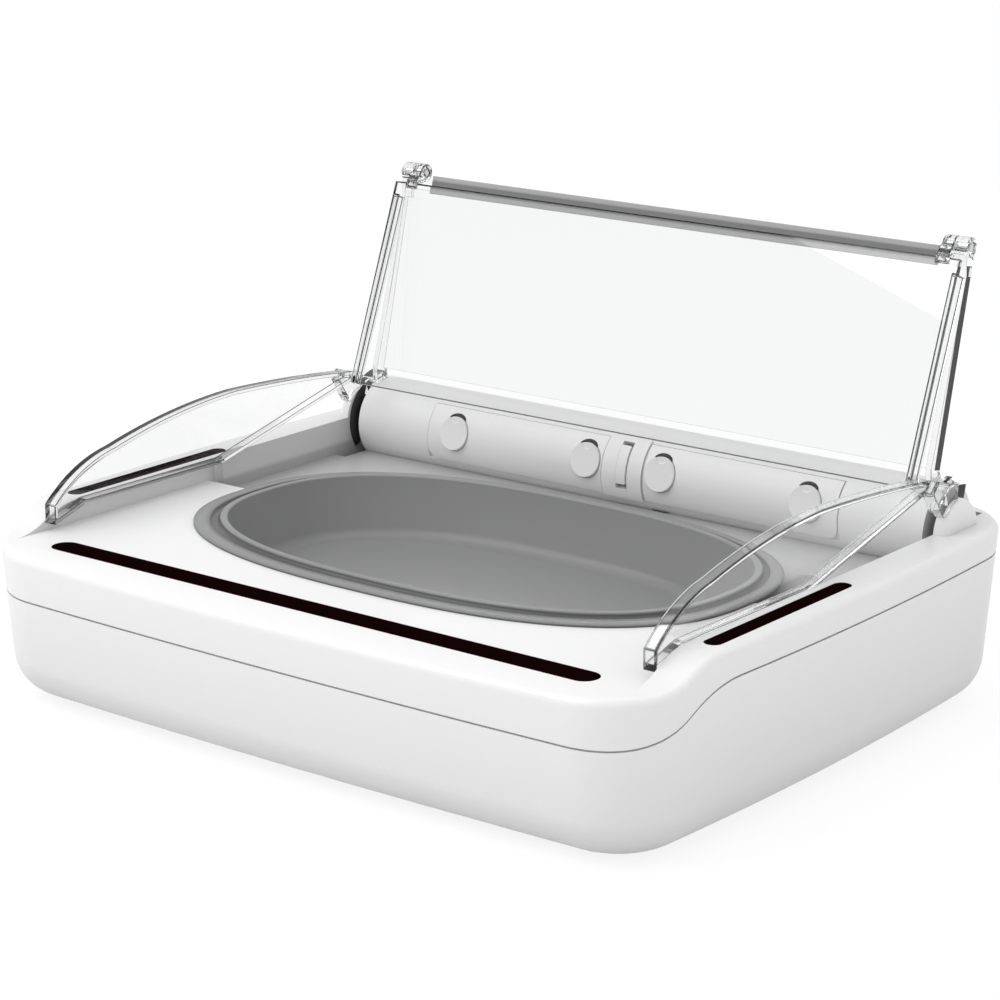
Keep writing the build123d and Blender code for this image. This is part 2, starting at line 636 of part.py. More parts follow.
# ---- windows ----
def window(x0, x1, y0, y1, top):
    """A dark window with a flange behind the skin that it shows through."""
    pane = round_ended(x0, x1, y0, y1, top - WALL, top)
    flange = block(x0 - WINDOW_FLANGE, x1 + WINDOW_FLANGE, y0 - WINDOW_FLANGE, y1 + WINDOW_FLANGE,
                   top - WALL - WINDOW_FLANGE_THICK, top - WALL)
    return pane + flange


def front_sensor_window():
    return window(-FRONT_WINDOW_HALF, FRONT_WINDOW_HALF, FRONT_WINDOW_Y - FRONT_WINDOW_WIDTH / 2,
                  FRONT_WINDOW_Y + FRONT_WINDOW_WIDTH / 2, DECK_HEIGHT)


def side_sensor_window():
    return window(SIDE_WINDOW_X - SIDE_WINDOW_WIDTH / 2, SIDE_WINDOW_X + SIDE_WINDOW_WIDTH / 2,
                  SIDE_WINDOW_FRONT, SIDE_WINDOW_BACK, RAIL_HEIGHT)


# ---- bowl ----
def bowl():
    """Oval bowl with a raised inner lip and a flange that rests on the deck."""
    outside = bowl_form(BOWL_WALL, BOWL_FLOOR - BOWL_WALL, LIP_HEIGHT)
    outside = fillet(outside.faces().sort_by(Axis.Z)[0].edges(), BOWL_FOOT_ROUND)
    inside = bowl_form(0, BOWL_FLOOR, LIP_HEIGHT)
    inside = fillet(inside.faces().sort_by(Axis.Z)[0].edges(), BOWL_FOOT_ROUND)
    edge = extrude(oval(FLANGE_HALF_WIDTH, FLANGE_HALF_DEPTH, FLANGE_CENTRE, DECK_HEIGHT),
                   amount=FLANGE_EDGE, dir=(0, 0, 1))
    slope = loft([oval(FLANGE_HALF_WIDTH, FLANGE_HALF_DEPTH, FLANGE_CENTRE, DECK_HEIGHT + FLANGE_EDGE),
                  oval(LIP_HALF_WIDTH + LIP_WIDTH, LIP_HALF_DEPTH + LIP_WIDTH, LIP_CENTRE, LIP_HEIGHT)],
                 ruled=True)
    return outside + edge + slope - inside


# ---- barrel ----
def cover_seat(gap):
    """The shallow seat of a cover on the barrel's front, grown by a gap."""
    turn = math.degrees(gap / BARREL_RADIUS)
    return curved_plate(BARREL_RADIUS - COVER_RECESS, BARREL_RADIUS + COVER_RECESS,
                        COVER_TOP_ANGLE - turn, COVER_BOTTOM_ANGLE + turn,
                        COVER_INNER - gap, COVER_OUTER + gap)


def cap_plug(x, radius, inner, outer):
    """A round plug that points outwards from the barrel's axis."""
    y, z = around_axis((inner + outer) / 2, CAP_ANGLE)
    return Pos(x, y, z) * Rot(CAP_ANGLE, 0, 0) * Cylinder(radius, outer - inner)


def barrel_housing():
    """Long half-round housing with seats for two covers, a slot for the lever and closed ends."""
    outside = rod(AXIS_Y, AXIS_Z, BARREL_RADIUS, -BARREL_END, BARREL_END)
    inside = rod(AXIS_Y, AXIS_Z, BARREL_BORE, BARREL_END_WALL - BARREL_END, BARREL_END - BARREL_END_WALL)
    housing = outside - inside
    housing -= block(-REACH, REACH, -REACH, REACH, -REACH, POCKET_HEIGHT)
    housing -= rod(AXIS_Y, AXIS_Z, SHAFT_RADIUS + LEVER_GAP, -REACH, REACH)
    for seat in both(cover_seat(COVER_GAP)):
        housing -= seat
    for x in (-CAP_OUTER_X, -CAP_INNER_X, CAP_INNER_X, CAP_OUTER_X):
        housing -= cap_plug(x, CAP_RADIUS + CAP_GAP, BARREL_RADIUS + CAP_PROUD - CAP_DEPTH, BARREL_RADIUS * 2)
    housing -= curved_plate(BARREL_BORE / 2, BARREL_RADIUS + WALL, LEVER_SLOT_TOP, LEVER_SLOT_BOTTOM,
                            -LEVER_SLOT_HALF, LEVER_SLOT_HALF)
    pin_y, pin_z = lever_pivot()
    for ear in both(lever_ear(pin_y, pin_z)):
        housing += ear
    housing -= rod(pin_y, pin_z, LEVER_PIN_RADIUS + BUSH_FIT, -LEVER_PIN_HALF, LEVER_PIN_HALF)
    return housing


def lever_pivot():
    """Where the release lever's pin runs."""
    return around_axis(LEVER_PIN_DISTANCE, LEVER_PIN_ANGLE)


def lever_ear(pin_y, pin_z):
    """A boss inside the barrel that holds one end of the lever's pin."""
    start = LEVER_SLOT_HALF + LEVER_EAR_GAP
    ear = rod(pin_y, pin_z, LEVER_EYE, start, start + LEVER_EAR)
    foot_y, foot_z = around_axis(BARREL_RADIUS - BARREL_WALL / 2, LEVER_PIN_ANGLE)
    web = block(start, start + LEVER_EAR, foot_y, pin_y, pin_z - LEVER_EYE, pin_z + LEVER_EYE)
    return ear + web


def end_cap():
    """Half-round hump on the rail beside the arm's slot."""
    hump = rod(HUMP_Y, HUMP_Z, HUMP_RADIUS, RAIL_INNER, HUMP_OUTER)
    hump = fillet(hump.faces().sort_by(Axis.X)[-1].edges(), HUMP_ROUND)
    hump -= rod(AXIS_Y, AXIS_Z, BUSH_RADIUS + BUSH_FIT, 0, RAIL_INNER + BUSH_LENGTH)
    return hump - block(0, REACH, -REACH, REACH, -REACH, RAIL_HEIGHT)


def barrel_cover():
    """Thin curved cover with holes for two caps and a rounded lower outer corner."""
    cover = curved_plate(BARREL_RADIUS - COVER_RECESS + BUSH_FIT, BARREL_RADIUS + COVER_PROUD,
                         COVER_TOP_ANGLE, COVER_BOTTOM_ANGLE, COVER_INNER, COVER_OUTER)
    end = cover.edges().filter_by_position(Axis.X, COVER_OUTER - COVER_GAP, COVER_OUTER + COVER_GAP)
    cover = fillet(end.sort_by(Axis.Z)[0], COVER_CORNER)
    for x in (CAP_INNER_X, CAP_OUTER_X):
        cover -= cap_plug(x, CAP_RADIUS + CAP_GAP, BARREL_BORE, BARREL_RADIUS * 2)
    return cover


def cover_caps():
    """Four round caps, each with a crescent notch at its upper edge."""
    caps = []
    for x in (-CAP_OUTER_X, -CAP_INNER_X, CAP_INNER_X, CAP_OUTER_X):
        outer = BARREL_RADIUS + CAP_PROUD
        cap = cap_plug(x, CAP_RADIUS, outer - CAP_DEPTH, outer)
        y, z = around_axis(outer, CAP_ANGLE)
        lift = math.radians(CAP_ANGLE)
        y += CAP_RADIUS * math.cos(lift)
        z += CAP_RADIUS * math.sin(lift)
        notch = Pos(x, y, z) * Rot(CAP_ANGLE, 0, 0) * Cylinder(2 * CAP_NOTCH, CAP_NOTCH)
        caps.append(cap - notch)
    return group(caps)


def centre_band():
    """Raised band between the covers, open over the lever's slot."""
    band = curved_plate(BARREL_RADIUS + BUSH_FIT, BARREL_RADIUS + BAND_THICK, BAND_TOP_ANGLE,
                        BAND_BOTTOM_ANGLE, -BAND_HALF, BAND_HALF)
    return band - curved_plate(BARREL_BORE, BARREL_RADIUS + WALL, LEVER_SLOT_TOP, LEVER_SLOT_BOTTOM,
                               -LEVER_SLOT_HALF, LEVER_SLOT_HALF)


def release_lever():
    """Curved lever that fills the slot and turns on a pin behind it."""
    turn = math.degrees(LEVER_GAP / BARREL_BORE)
    outer = BARREL_RADIUS + LEVER_PROUD
    blade = curved_plate(outer - LEVER_THICK, outer, LEVER_SLOT_TOP + 4 * turn, LEVER_PIN_ANGLE + turn,
                         LEVER_GAP - LEVER_SLOT_HALF, LEVER_SLOT_HALF - LEVER_GAP)
    pin_y, pin_z = lever_pivot()
    eye = rod(pin_y, pin_z, LEVER_EYE, LEVER_GAP - LEVER_SLOT_HALF, LEVER_SLOT_HALF - LEVER_GAP)
    root_y, root_z = around_axis(outer - LEVER_THICK / 2, LEVER_PIN_ANGLE)
    neck = block(LEVER_GAP - LEVER_SLOT_HALF, LEVER_SLOT_HALF - LEVER_GAP, root_y, pin_y,
                 pin_z, pin_z + LEVER_EYE)
    bore = rod(pin_y, pin_z, LEVER_PIN_RADIUS + RUNNING_FIT, -LEVER_PIN_HALF, LEVER_PIN_HALF)
    return blade + eye + neck - bore


def lever_pin():
    pin_y, pin_z = lever_pivot()
    return rod(pin_y, pin_z, LEVER_PIN_RADIUS, -LEVER_SLOT_HALF - LEVER_EAR, LEVER_SLOT_HALF + LEVER_EAR)


# ---- side guides ----
def side_guide():
    """Clear arched channel, open towards the bowl, that stands on the rail's inner face."""
    rise_z = RAIL_HEIGHT - GUIDE_EDGE_INSET
    tip_low = (GUIDE_TIP_Y, GUIDE_TIP_Z)
    tip_high = (GUIDE_TIP_Y, GUIDE_TIP_Z + GUIDE_TIP_HIGH)
    end_low = (GUIDE_END_Y, GUIDE_END_LOW)
    end_high = (GUIDE_END_Y, GUIDE_END_HIGH)
    length = GUIDE_END_Y - GUIDE_TIP_Y
    places = [(GUIDE_TIP_Y + share * length, RAIL_HEIGHT + high) for share, high in GUIDE_ARCH]
    arch = [ThreePointArc(tip_high, *places[:2]), ThreePointArc(*places[1:4]),
            ThreePointArc(*places[3:], end_high)]
    bend = (GUIDE_BEND_Y, GUIDE_BEND_Z)
    lower = Polyline(end_high, end_low, bend, (RAIL_RISE_BACK, rise_z), tip_low, tip_high)
    profile = make_face([*arch, lower])
    channel = slab(profile, GUIDE_INNER, RAIL_INNER)
    channel -= slab(offset(profile, -GUIDE_THICK), GUIDE_INNER - GUIDE_THICK, RAIL_INNER - GUIDE_THICK)
    pin_x = RAIL_INNER - GUIDE_PIN_RADIUS - WINDOW_GAP
    pin = post(pin_x, GUIDE_PIN_Y, GUIDE_PIN_RADIUS, POCKET_HEIGHT, GUIDE_BEND_Z + GUIDE_THICK / 2)
    foot_profile = flat((GUIDE_END_Y - GUIDE_FOOT_WIDTH, GUIDE_END_LOW), end_high,
                        (GUIDE_FOOT_BACK, GUIDE_END_LOW), (GUIDE_FOOT_BACK, GUIDE_END_HIGH - GUIDE_FOOT_DROP),
                        (GUIDE_END_Y + GUIDE_FOOT_WIDTH, GUIDE_END_HIGH - GUIDE_FOOT_DROP))
    foot = slab(foot_profile, RAIL_INNER - GUIDE_THICK, RAIL_INNER + GUIDE_FOOT_WIDTH)
    foot -= rod(HUMP_Y, HUMP_Z, HUMP_RADIUS, RAIL_INNER, REACH)
    foot -= rod(AXIS_Y, AXIS_Z, BARREL_RADIUS, 0, RAIL_INNER)
    foot -= rod(AXIS_Y, AXIS_Z, ARM_BRIDGE_OUTER + ARM_SIDE_GAP, 0, RAIL_INNER)
    return channel + pin + foot


# ---- folding lid ----
def on_panel(lean_angle, down, ahead):
    """A place beside a leaning panel, by its distance below and ahead of the fold."""
    lean = math.radians(lean_angle)
    return (FOLD_Y - down * math.sin(lean) - ahead * math.cos(lean),
            FOLD_Z - down * math.cos(lean) + ahead * math.sin(lean))


def on_rear_panel(down, ahead):
    """A place on the rear panel's side."""
    return on_panel(REAR_PANEL_LEAN, down, ahead)


def on_front_panel(down, ahead):
    """A place on the front panel's side."""
    return on_panel(FRONT_PANEL_LEAN, down, ahead)


def rear_lid_panel():
    """Clear rear panel, its side flanges and the arms that reach into the barrel's end slots."""
    back = -REAR_FACE_BEHIND_FOLD
    plate = flat(on_rear_panel(REAR_PANEL_TOP, back), on_rear_panel(REAR_PANEL_BOTTOM, back),
                 on_rear_panel(REAR_PANEL_BOTTOM, back + LID_THICK),
                 on_rear_panel(REAR_PANEL_TOP, back + LID_THICK))
    panel = slab(plate, -LID_HALF, LID_HALF)
    flange = flat(on_rear_panel(REAR_PANEL_TOP, back), on_rear_panel(REAR_PANEL_BOTTOM, back),
                  around_axis(ARM_BRIDGE_OUTER, ARM_ANGLE - ARM_BRIDGE_SWEEP),
                  around_axis(ARM_BRIDGE_INNER, ARM_ANGLE - ARM_BRIDGE_SWEEP),
                  around_axis(ARM_BRIDGE_INNER, ARM_ANGLE + ARM_BRIDGE_SWEEP / 2),
                  around_axis(ARM_BRIDGE_OUTER, ARM_ANGLE + ARM_BRIDGE_SWEEP / 2),
                  on_rear_panel(REAR_PANEL_BOTTOM, back + REAR_FLANGE_BOTTOM_DEPTH),
                  on_rear_panel(REAR_PANEL_TOP, back + REAR_FLANGE_TOP_DEPTH))
    lug = flat(on_rear_panel(REAR_PANEL_TOP + KNUCKLE_RADIUS, back),
               on_rear_panel(0, back), on_rear_panel(0, KNUCKLE_RADIUS),
               on_rear_panel(REAR_PANEL_TOP + KNUCKLE_RADIUS, back + REAR_FLANGE_TOP_DEPTH))
    split = (KNUCKLE_INNER + LID_HALF) / 2
    bridge = curved_plate(ARM_BRIDGE_INNER, ARM_BRIDGE_OUTER, ARM_ANGLE - ARM_BRIDGE_SWEEP,
                          ARM_ANGLE + ARM_BRIDGE_SWEEP / 2, LID_HALF - FLANGE_THICK, ARM_OUTER)
    side = slab(flange, LID_HALF - FLANGE_THICK, LID_HALF) + bridge
    side += slab(lug, split + KNUCKLE_GAP / 2, LID_HALF)
    side += rod(FOLD_Y, FOLD_Z, KNUCKLE_RADIUS, split + KNUCKLE_GAP / 2, LID_HALF)
    side += lid_arm()
    side -= rod(FOLD_Y, FOLD_Z, FOLD_PIN_RADIUS + BUSH_FIT, 0, REACH)
    for piece in both(side):
        panel += piece
    return panel


def lid_arm():
    """The flat arm that turns in the slot, with a square eye for the hub."""
    arm = rod(AXIS_Y, AXIS_Z, ARM_EYE, ARM_INNER, ARM_OUTER)
    centre_y, centre_z = around_axis(ARM_BRIDGE_OUTER / 2 - LEVER_GAP, ARM_ANGLE)
    bar = Pos((ARM_INNER + ARM_OUTER) / 2, centre_y, centre_z) * Rot(ARM_ANGLE, 0, 0) * Box(
        ARM_THICK, 2 * ARM_HALF, ARM_BRIDGE_OUTER - 2 * LEVER_GAP)
    eye_width = 2 * (HUB_HALF + HUB_FIT)
    eye = Pos(ARM_INNER, AXIS_Y, AXIS_Z) * Box(4 * ARM_THICK, eye_width, eye_width)
    return arm + bar - eye


def front_lid_panel():
    """Clear front panel with side flanges, folded down in front of the rear panel."""
    front = FRONT_FACE_AHEAD_OF_FOLD
    plate = flat(on_front_panel(FRONT_PANEL_TOP, front), on_front_panel(FRONT_PANEL_LENGTH, front),
                 on_front_panel(FRONT_PANEL_LENGTH, front - LID_THICK),
                 on_front_panel(FRONT_PANEL_TOP, front - LID_THICK))
    panel = slab(plate, -LID_HALF, LID_HALF)
    flange = flat(on_front_panel(FRONT_FLANGE_START, front), on_front_panel(FRONT_PANEL_LENGTH, front),
                  on_front_panel(FRONT_PANEL_LENGTH, front - FRONT_FLANGE_TIP_DEPTH),
                  on_front_panel(FRONT_FLANGE_START, front - FRONT_FLANGE_TOP_DEPTH))
    split = (KNUCKLE_INNER + LID_HALF) / 2
    lug = flat(on_front_panel(FRONT_PANEL_TOP, front),
               on_front_panel(FRONT_PANEL_TOP + KNUCKLE_RADIUS, front),
               on_front_panel(KNUCKLE_RADIUS, 0), on_front_panel(0, 0), on_front_panel(0, KNUCKLE_RADIUS))
    side = slab(flange, LID_HALF - FLANGE_THICK, LID_HALF)
    side += slab(lug, KNUCKLE_INNER, split - KNUCKLE_GAP / 2)
    side += rod(FOLD_Y, FOLD_Z, KNUCKLE_RADIUS, KNUCKLE_INNER, split - KNUCKLE_GAP / 2)
    side -= rod(FOLD_Y, FOLD_Z, FOLD_PIN_RADIUS + RUNNING_FIT, 0, REACH)
    for piece in both(side):
        panel += piece
    return panel


def fold_strip():
    """Stiff strip clipped over the rear panel's top edge."""
    back = -REAR_FACE_BEHIND_FOLD
    middle = back + LID_THICK / 2
    outside = flat(on_rear_panel(STRIP_TOP, middle - STRIP_THICK / 2),
                   on_rear_panel(REAR_PANEL_TOP + STRIP_SLOT, middle - STRIP_THICK / 2),
                   on_rear_panel(REAR_PANEL_TOP + STRIP_SLOT, middle + STRIP_THICK / 2),
                   on_rear_panel(STRIP_TOP, middle + STRIP_THICK / 2))
    slot = flat(on_rear_panel(REAR_PANEL_TOP, back), on_rear_panel(2 * REAR_PANEL_TOP, back),
                on_rear_panel(2 * REAR_PANEL_TOP, back + LID_THICK),
                on_rear_panel(REAR_PANEL_TOP, back + LID_THICK))
    return slab(outside, -STRIP_HALF, STRIP_HALF) - slab(slot, -STRIP_HALF, STRIP_HALF)


def fold_pins():
    return group(both(rod(FOLD_Y, FOLD_Z, FOLD_PIN_RADIUS, KNUCKLE_INNER, LID_HALF)))


def guide_pegs():
    """Short pegs on the front panel's free corners."""
    y, z = on_front_panel(PEG_DOWN, PEG_AHEAD)
    return group(both(rod(y, z, PEG_RADIUS, LID_HALF, LID_HALF + PEG_REACH)))


# ---- drive ----
def gear(y, z, teeth, bore, phase):
    """A spur gear along X with straight-flanked teeth; phase is the first tooth's angle from +Y."""
    pitch = GEAR_MODULE * teeth / 2
    step = 2 * math.pi / teeth
    flank = [(pitch - TOOTH_ROOT, TOOTH_ROOT_SHARE), (pitch, TOOTH_SHARE),
             (pitch + TOOTH_TIP, TOOTH_TIP_SHARE)]
    other_flank = [(radius, -share) for radius, share in reversed(flank)]
    points = []
    for tooth in range(teeth):
        centre = phase + tooth * step
        for radius, share in flank + other_flank:
            angle = centre - share * step / 2
            points.append((y + radius * math.cos(angle), z + radius * math.sin(angle)))
    return slab(flat(*points), GEAR_START, GEAR_END) - rod(y, z, bore, 0, REACH)


def drive_gear():
    return gear(AXIS_Y, AXIS_Z, DRIVE_TEETH, SHAFT_RADIUS, -math.pi / 2)


def idler_gear():
    return gear(AXIS_Y, IDLER_Z, IDLER_TEETH, IDLER_AXLE_RADIUS + RUNNING_FIT, IDLER_PHASE)


def motor_pinion():
    """Pinion and its output shaft; its teeth stand in the idler's gaps on the line of centres."""
    toward_idler = math.radians(PINION_ANGLE)
    past_first = toward_idler + math.pi - IDLER_PHASE
    teeth_past_first = past_first * IDLER_TEETH / (2 * math.pi)
    phase = toward_idler + (teeth_past_first + 1 / 2) * 2 * math.pi / PINION_TEETH
    pinion = gear(PINION_Y, PINION_Z, PINION_TEETH, MOTOR_SHAFT_RADIUS, phase)
    return pinion + rod(PINION_Y, PINION_Z, MOTOR_SHAFT_RADIUS, NEAR_CHEEK, GEAR_END)


def drive_shaft():
    """Round shaft across the whole barrel, held at both ends."""
    return rod(AXIS_Y, AXIS_Z, SHAFT_RADIUS, -SHAFT_END, SHAFT_END)


def drive_hub():
    """Square hub that carries the lid's arm on the shaft."""
    hub = block(ARM_INNER, ARM_OUTER, AXIS_Y - HUB_HALF, AXIS_Y + HUB_HALF,
                AXIS_Z - HUB_HALF, AXIS_Z + HUB_HALF)
    return hub - rod(AXIS_Y, AXIS_Z, SHAFT_RADIUS, 0, REACH)


def shaft_bushes():
    """Bushes in the rails' inner walls."""
    bush = rod(AXIS_Y, AXIS_Z, BUSH_RADIUS, RAIL_INNER, RAIL_INNER + BUSH_LENGTH)
    return group(both(bush - rod(AXIS_Y, AXIS_Z, SHAFT_RADIUS + RUNNING_FIT, 0, REACH)))


def idler_axle():
    return rod(AXIS_Y, IDLER_Z, IDLER_AXLE_RADIUS, NEAR_CHEEK, FAR_CHEEK)


def gear_frame():
    """Two cheeks on one foot that carry the motor and the idler's axle."""
    top = POCKET_UNDERSIDE - CHEEK_TOP_GAP
    near = block(NEAR_CHEEK, NEAR_CHEEK + CHEEK_THICK, CHEEK_FRONT, CHEEK_BACK, BASE_FLOOR, top)
    far = block(FAR_CHEEK - CHEEK_THICK, FAR_CHEEK, CHEEK_FRONT, CHEEK_BACK, BASE_FLOOR, top)
    foot = block(NEAR_CHEEK, FAR_CHEEK, CHEEK_FRONT, CHEEK_BACK, BASE_FLOOR, BASE_FLOOR + CHEEK_THICK)
    frame = near + far + foot
    frame -= rod(AXIS_Y, IDLER_Z, IDLER_AXLE_RADIUS + BUSH_FIT, -REACH, REACH)
    frame -= rod(PINION_Y, PINION_Z, MOTOR_SHAFT_RADIUS + LEVER_GAP, -REACH, REACH)
    return frame


def gear_motor():
    """Square gearbox and round motor, held by the near cheek."""
    joint = NEAR_CHEEK - GEARBOX_LENGTH
    gearbox = block(joint, NEAR_CHEEK, PINION_Y - MOTOR_HALF, PINION_Y + MOTOR_HALF,
                    PINION_Z - MOTOR_HALF, PINION_Z + MOTOR_HALF)
    return gearbox + rod(PINION_Y, PINION_Z, MOTOR_RADIUS, joint - MOTOR_LENGTH, joint)


# ---- batteries ----
def cell_starts():
    """Where each cell of the right-hand bay begins along X."""
    first = BAY_INNER + CONTACT_THICK + CELL_GAP
    return [first, first + CELL_LENGTH]


def c_cells():
    cells = []
    for start in cell_starts():
        cells += both(rod(CELL_Y, CELL_Z, CELL_RADIUS, start, start + CELL_LENGTH - CELL_GAP))
    return group(cells)


def battery_contacts():
    """Round contact plates at both ends of each bay."""
    inner = rod(CELL_Y, CELL_Z, CONTACT_RADIUS, BAY_INNER, BAY_INNER + CONTACT_THICK)
    outer = rod(CELL_Y, CELL_Z, CONTACT_RADIUS, BAY_OUTER - CONTACT_THICK, BAY_OUTER)
    return group(both(inner) + both(outer))


def battery_tray():
    """Box over a pair of cells, open below."""
    outside = block(BAY_INNER - TRAY_WALL, BAY_OUTER + TRAY_WALL, BAY_FRONT - TRAY_WALL, BAY_BACK + TRAY_WALL,
                    BASE_FLOOR, BAY_TOP + TRAY_WALL)
    outside &= case_block(WALL + DOOR_GAP, BASE_BOTTOM + WALL + DOOR_GAP)
    return outside - block(BAY_INNER, BAY_OUTER, BAY_FRONT, BAY_BACK, 0, BAY_TOP)


def battery_door():
    """Flush door under a pair of cells, with a finger notch."""
    lip = DOOR_LIP - DOOR_GAP
    outer = block(BAY_INNER - lip, BAY_OUTER + lip, BAY_FRONT - lip, BAY_BACK + lip, BASE_BOTTOM,
                  BASE_BOTTOM + WALL / 2)
    inner = block(BAY_INNER + DOOR_GAP, BAY_OUTER - DOOR_GAP, BAY_FRONT + DOOR_GAP, BAY_BACK - DOOR_GAP,
                  BASE_BOTTOM + WALL / 2, BASE_FLOOR)
    middle = (BAY_INNER + BAY_OUTER) / 2
    notch = block(middle - DOOR_FINGER_WIDTH / 2, middle + DOOR_FINGER_WIDTH / 2, BAY_FRONT + DOOR_GAP,
                  BAY_FRONT + DOOR_FINGER_WIDTH / 2, BASE_BOTTOM, BASE_BOTTOM + DOOR_FINGER_DEPTH)
    return outer + inner - notch


# ---- electronics ----
def board_corners():
    """Where the control board is held."""
    x = CONTROL_BOARD_WIDTH / 2 - STANDOFF_INSET
    y = CONTROL_BOARD_DEPTH / 2 - STANDOFF_INSET
    return [(side * x, CONTROL_BOARD_Y + end * y) for side in (-1, 1) for end in (-1, 1)]


def control_board():
    bottom = BASE_FLOOR + STANDOFF_HIGH
    return block(-CONTROL_BOARD_WIDTH / 2, CONTROL_BOARD_WIDTH / 2, CONTROL_BOARD_Y - CONTROL_BOARD_DEPTH / 2,
                 CONTROL_BOARD_Y + CONTROL_BOARD_DEPTH / 2, bottom, bottom + BOARD_THICK)


def on_board(x, y, length, width, high):
    """A box that stands on the control board, round a place."""
    top = BASE_FLOOR + STANDOFF_HIGH + BOARD_THICK
    return block(x - length / 2, x + length / 2, y - width / 2, y + width / 2, top, top + high)


def board_components():
    """Controller chip, relay, plug, sounder and capacitors on the control board."""
    top = BASE_FLOOR + STANDOFF_HIGH + BOARD_THICK
    chip = on_board(0, CONTROL_BOARD_Y, CHIP_SIZE, CHIP_SIZE, CHIP_HIGH)
    relay = on_board(RELAY_X, CONTROL_BOARD_Y, RELAY_LENGTH, RELAY_WIDTH, RELAY_HIGH)
    plug = on_board(PLUG_X, CONTROL_BOARD_Y + PLUG_BACK, PLUG_LENGTH, PLUG_WIDTH, PLUG_HIGH)
    sounder = post(SOUNDER_X, CONTROL_BOARD_Y + SOUNDER_BACK, SOUNDER_RADIUS, top, top + SOUNDER_HIGH)
    capacitors = [post(x, CONTROL_BOARD_Y + CAPACITOR_BACK, CAPACITOR_RADIUS, top, top + CAPACITOR_HIGH)
                  for x in CAPACITOR_X]
    return group([chip, relay, plug, sounder, *capacitors])


def front_board_posts():
    """Where the front sensor board is held."""
    x = FRONT_BOARD_WIDTH / 2 - STANDOFF_INSET
    y = FRONT_BOARD_DEPTH / 2 - STANDOFF_RADIUS
    return [(side * x, FRONT_WINDOW_Y + y) for side in (-1, 1)]


def front_sensor_board():
    top = DECK_UNDERSIDE - FRONT_BOARD_DROP
    return block(-FRONT_BOARD_WIDTH / 2, FRONT_BOARD_WIDTH / 2, FRONT_WINDOW_Y - FRONT_BOARD_DEPTH / 2,
                 FRONT_WINDOW_Y + FRONT_BOARD_DEPTH / 2, top - BOARD_THICK, top)


def side_board_posts():
    """Where each side sensor board is held, just past the front and back of the window's flange."""
    past = WINDOW_FLANGE + WINDOW_GAP + STANDOFF_RADIUS / 2
    return [SIDE_WINDOW_FRONT - past, SIDE_WINDOW_BACK + past]


def side_sensor_boards():
    top = RAIL_UNDERSIDE - SIDE_BOARD_DROP
    front, back = side_board_posts()
    board = block(SIDE_WINDOW_X - SIDE_BOARD_WIDTH / 2, SIDE_WINDOW_X + SIDE_BOARD_WIDTH / 2,
                  front - STANDOFF_RADIUS / 2, back + STANDOFF_RADIUS / 2, top - BOARD_THICK, top)
    return group(both(board))


def led(x, y, z):
    """Round-topped lamp."""
    barrel = post(x, y, LED_RADIUS, z, z + LED_HIGH - LED_RADIUS)
    return barrel + Pos(x, y, z + LED_HIGH - LED_RADIUS) * Sphere(LED_RADIUS)


def sensor_leds():
    """Infrared lamps and receivers under the three windows."""
    lamps = []
    first = -FRONT_LED_PITCH * (FRONT_LED_COUNT - 1) / 2
    for number in range(FRONT_LED_COUNT):
        lamps.append(led(first + number * FRONT_LED_PITCH, FRONT_WINDOW_Y, DECK_UNDERSIDE - FRONT_BOARD_DROP))
    middle = (SIDE_WINDOW_FRONT + SIDE_WINDOW_BACK) / 2
    for y in (middle - SIDE_LED_PITCH / 2, middle + SIDE_LED_PITCH / 2):
        lamps += both(led(SIDE_WINDOW_X, y, RAIL_UNDERSIDE - SIDE_BOARD_DROP))
    return group(lamps)


# ---- rear controls ----
def panel_plate(gap):
    """The bare plate on the rear deck, or its seat where the gap is zero."""
    half = PANEL_DEPTH / 2 - gap
    return block(gap - PANEL_HALF, PANEL_HALF - gap, PANEL_Y - half, PANEL_Y + half,
                 RAIL_HEIGHT - PANEL_THICK, RAIL_HEIGHT)


def switch_slot(z0, z1):
    """The slot that the slide switch runs in."""
    half_length = SWITCH_LENGTH / 2 + BUTTON_GAP
    half_width = SWITCH_WIDTH / 2 + BUTTON_GAP
    return block(SWITCH_X - half_length, SWITCH_X + half_length + SWITCH_TRAVEL,
                 PANEL_Y - half_width, PANEL_Y + half_width, z0, z1)


def control_panel():
    panel = panel_plate(WINDOW_GAP)
    for x in (OPEN_BUTTON_X, MODE_BUTTON_X):
        panel -= pill(x, BUTTON_GAP, RAIL_UNDERSIDE, RAIL_HEIGHT)
    return panel - switch_slot(RAIL_UNDERSIDE, RAIL_HEIGHT)


def pill(x, grow, z0, z1):
    """An upright block with round ends, the size of a button grown by a distance."""
    radius = BUTTON_RADIUS + grow
    reach = BUTTON_LENGTH / 2 - BUTTON_RADIUS
    middle = block(x - reach, x + reach, PANEL_Y - radius, PANEL_Y + radius, z0, z1)
    return middle + post(x - reach, PANEL_Y, radius, z0, z1) + post(x + reach, PANEL_Y, radius, z0, z1)


def push_button(x):
    """Oblong button with a collar that stops under the deck."""
    collar_top = RAIL_UNDERSIDE - BUTTON_GAP
    stem = pill(x, 0, collar_top - BUTTON_COLLAR_THICK, RAIL_HEIGHT + BUTTON_PROUD)
    return stem + pill(x, BUTTON_COLLAR, collar_top - BUTTON_COLLAR_THICK, collar_top)


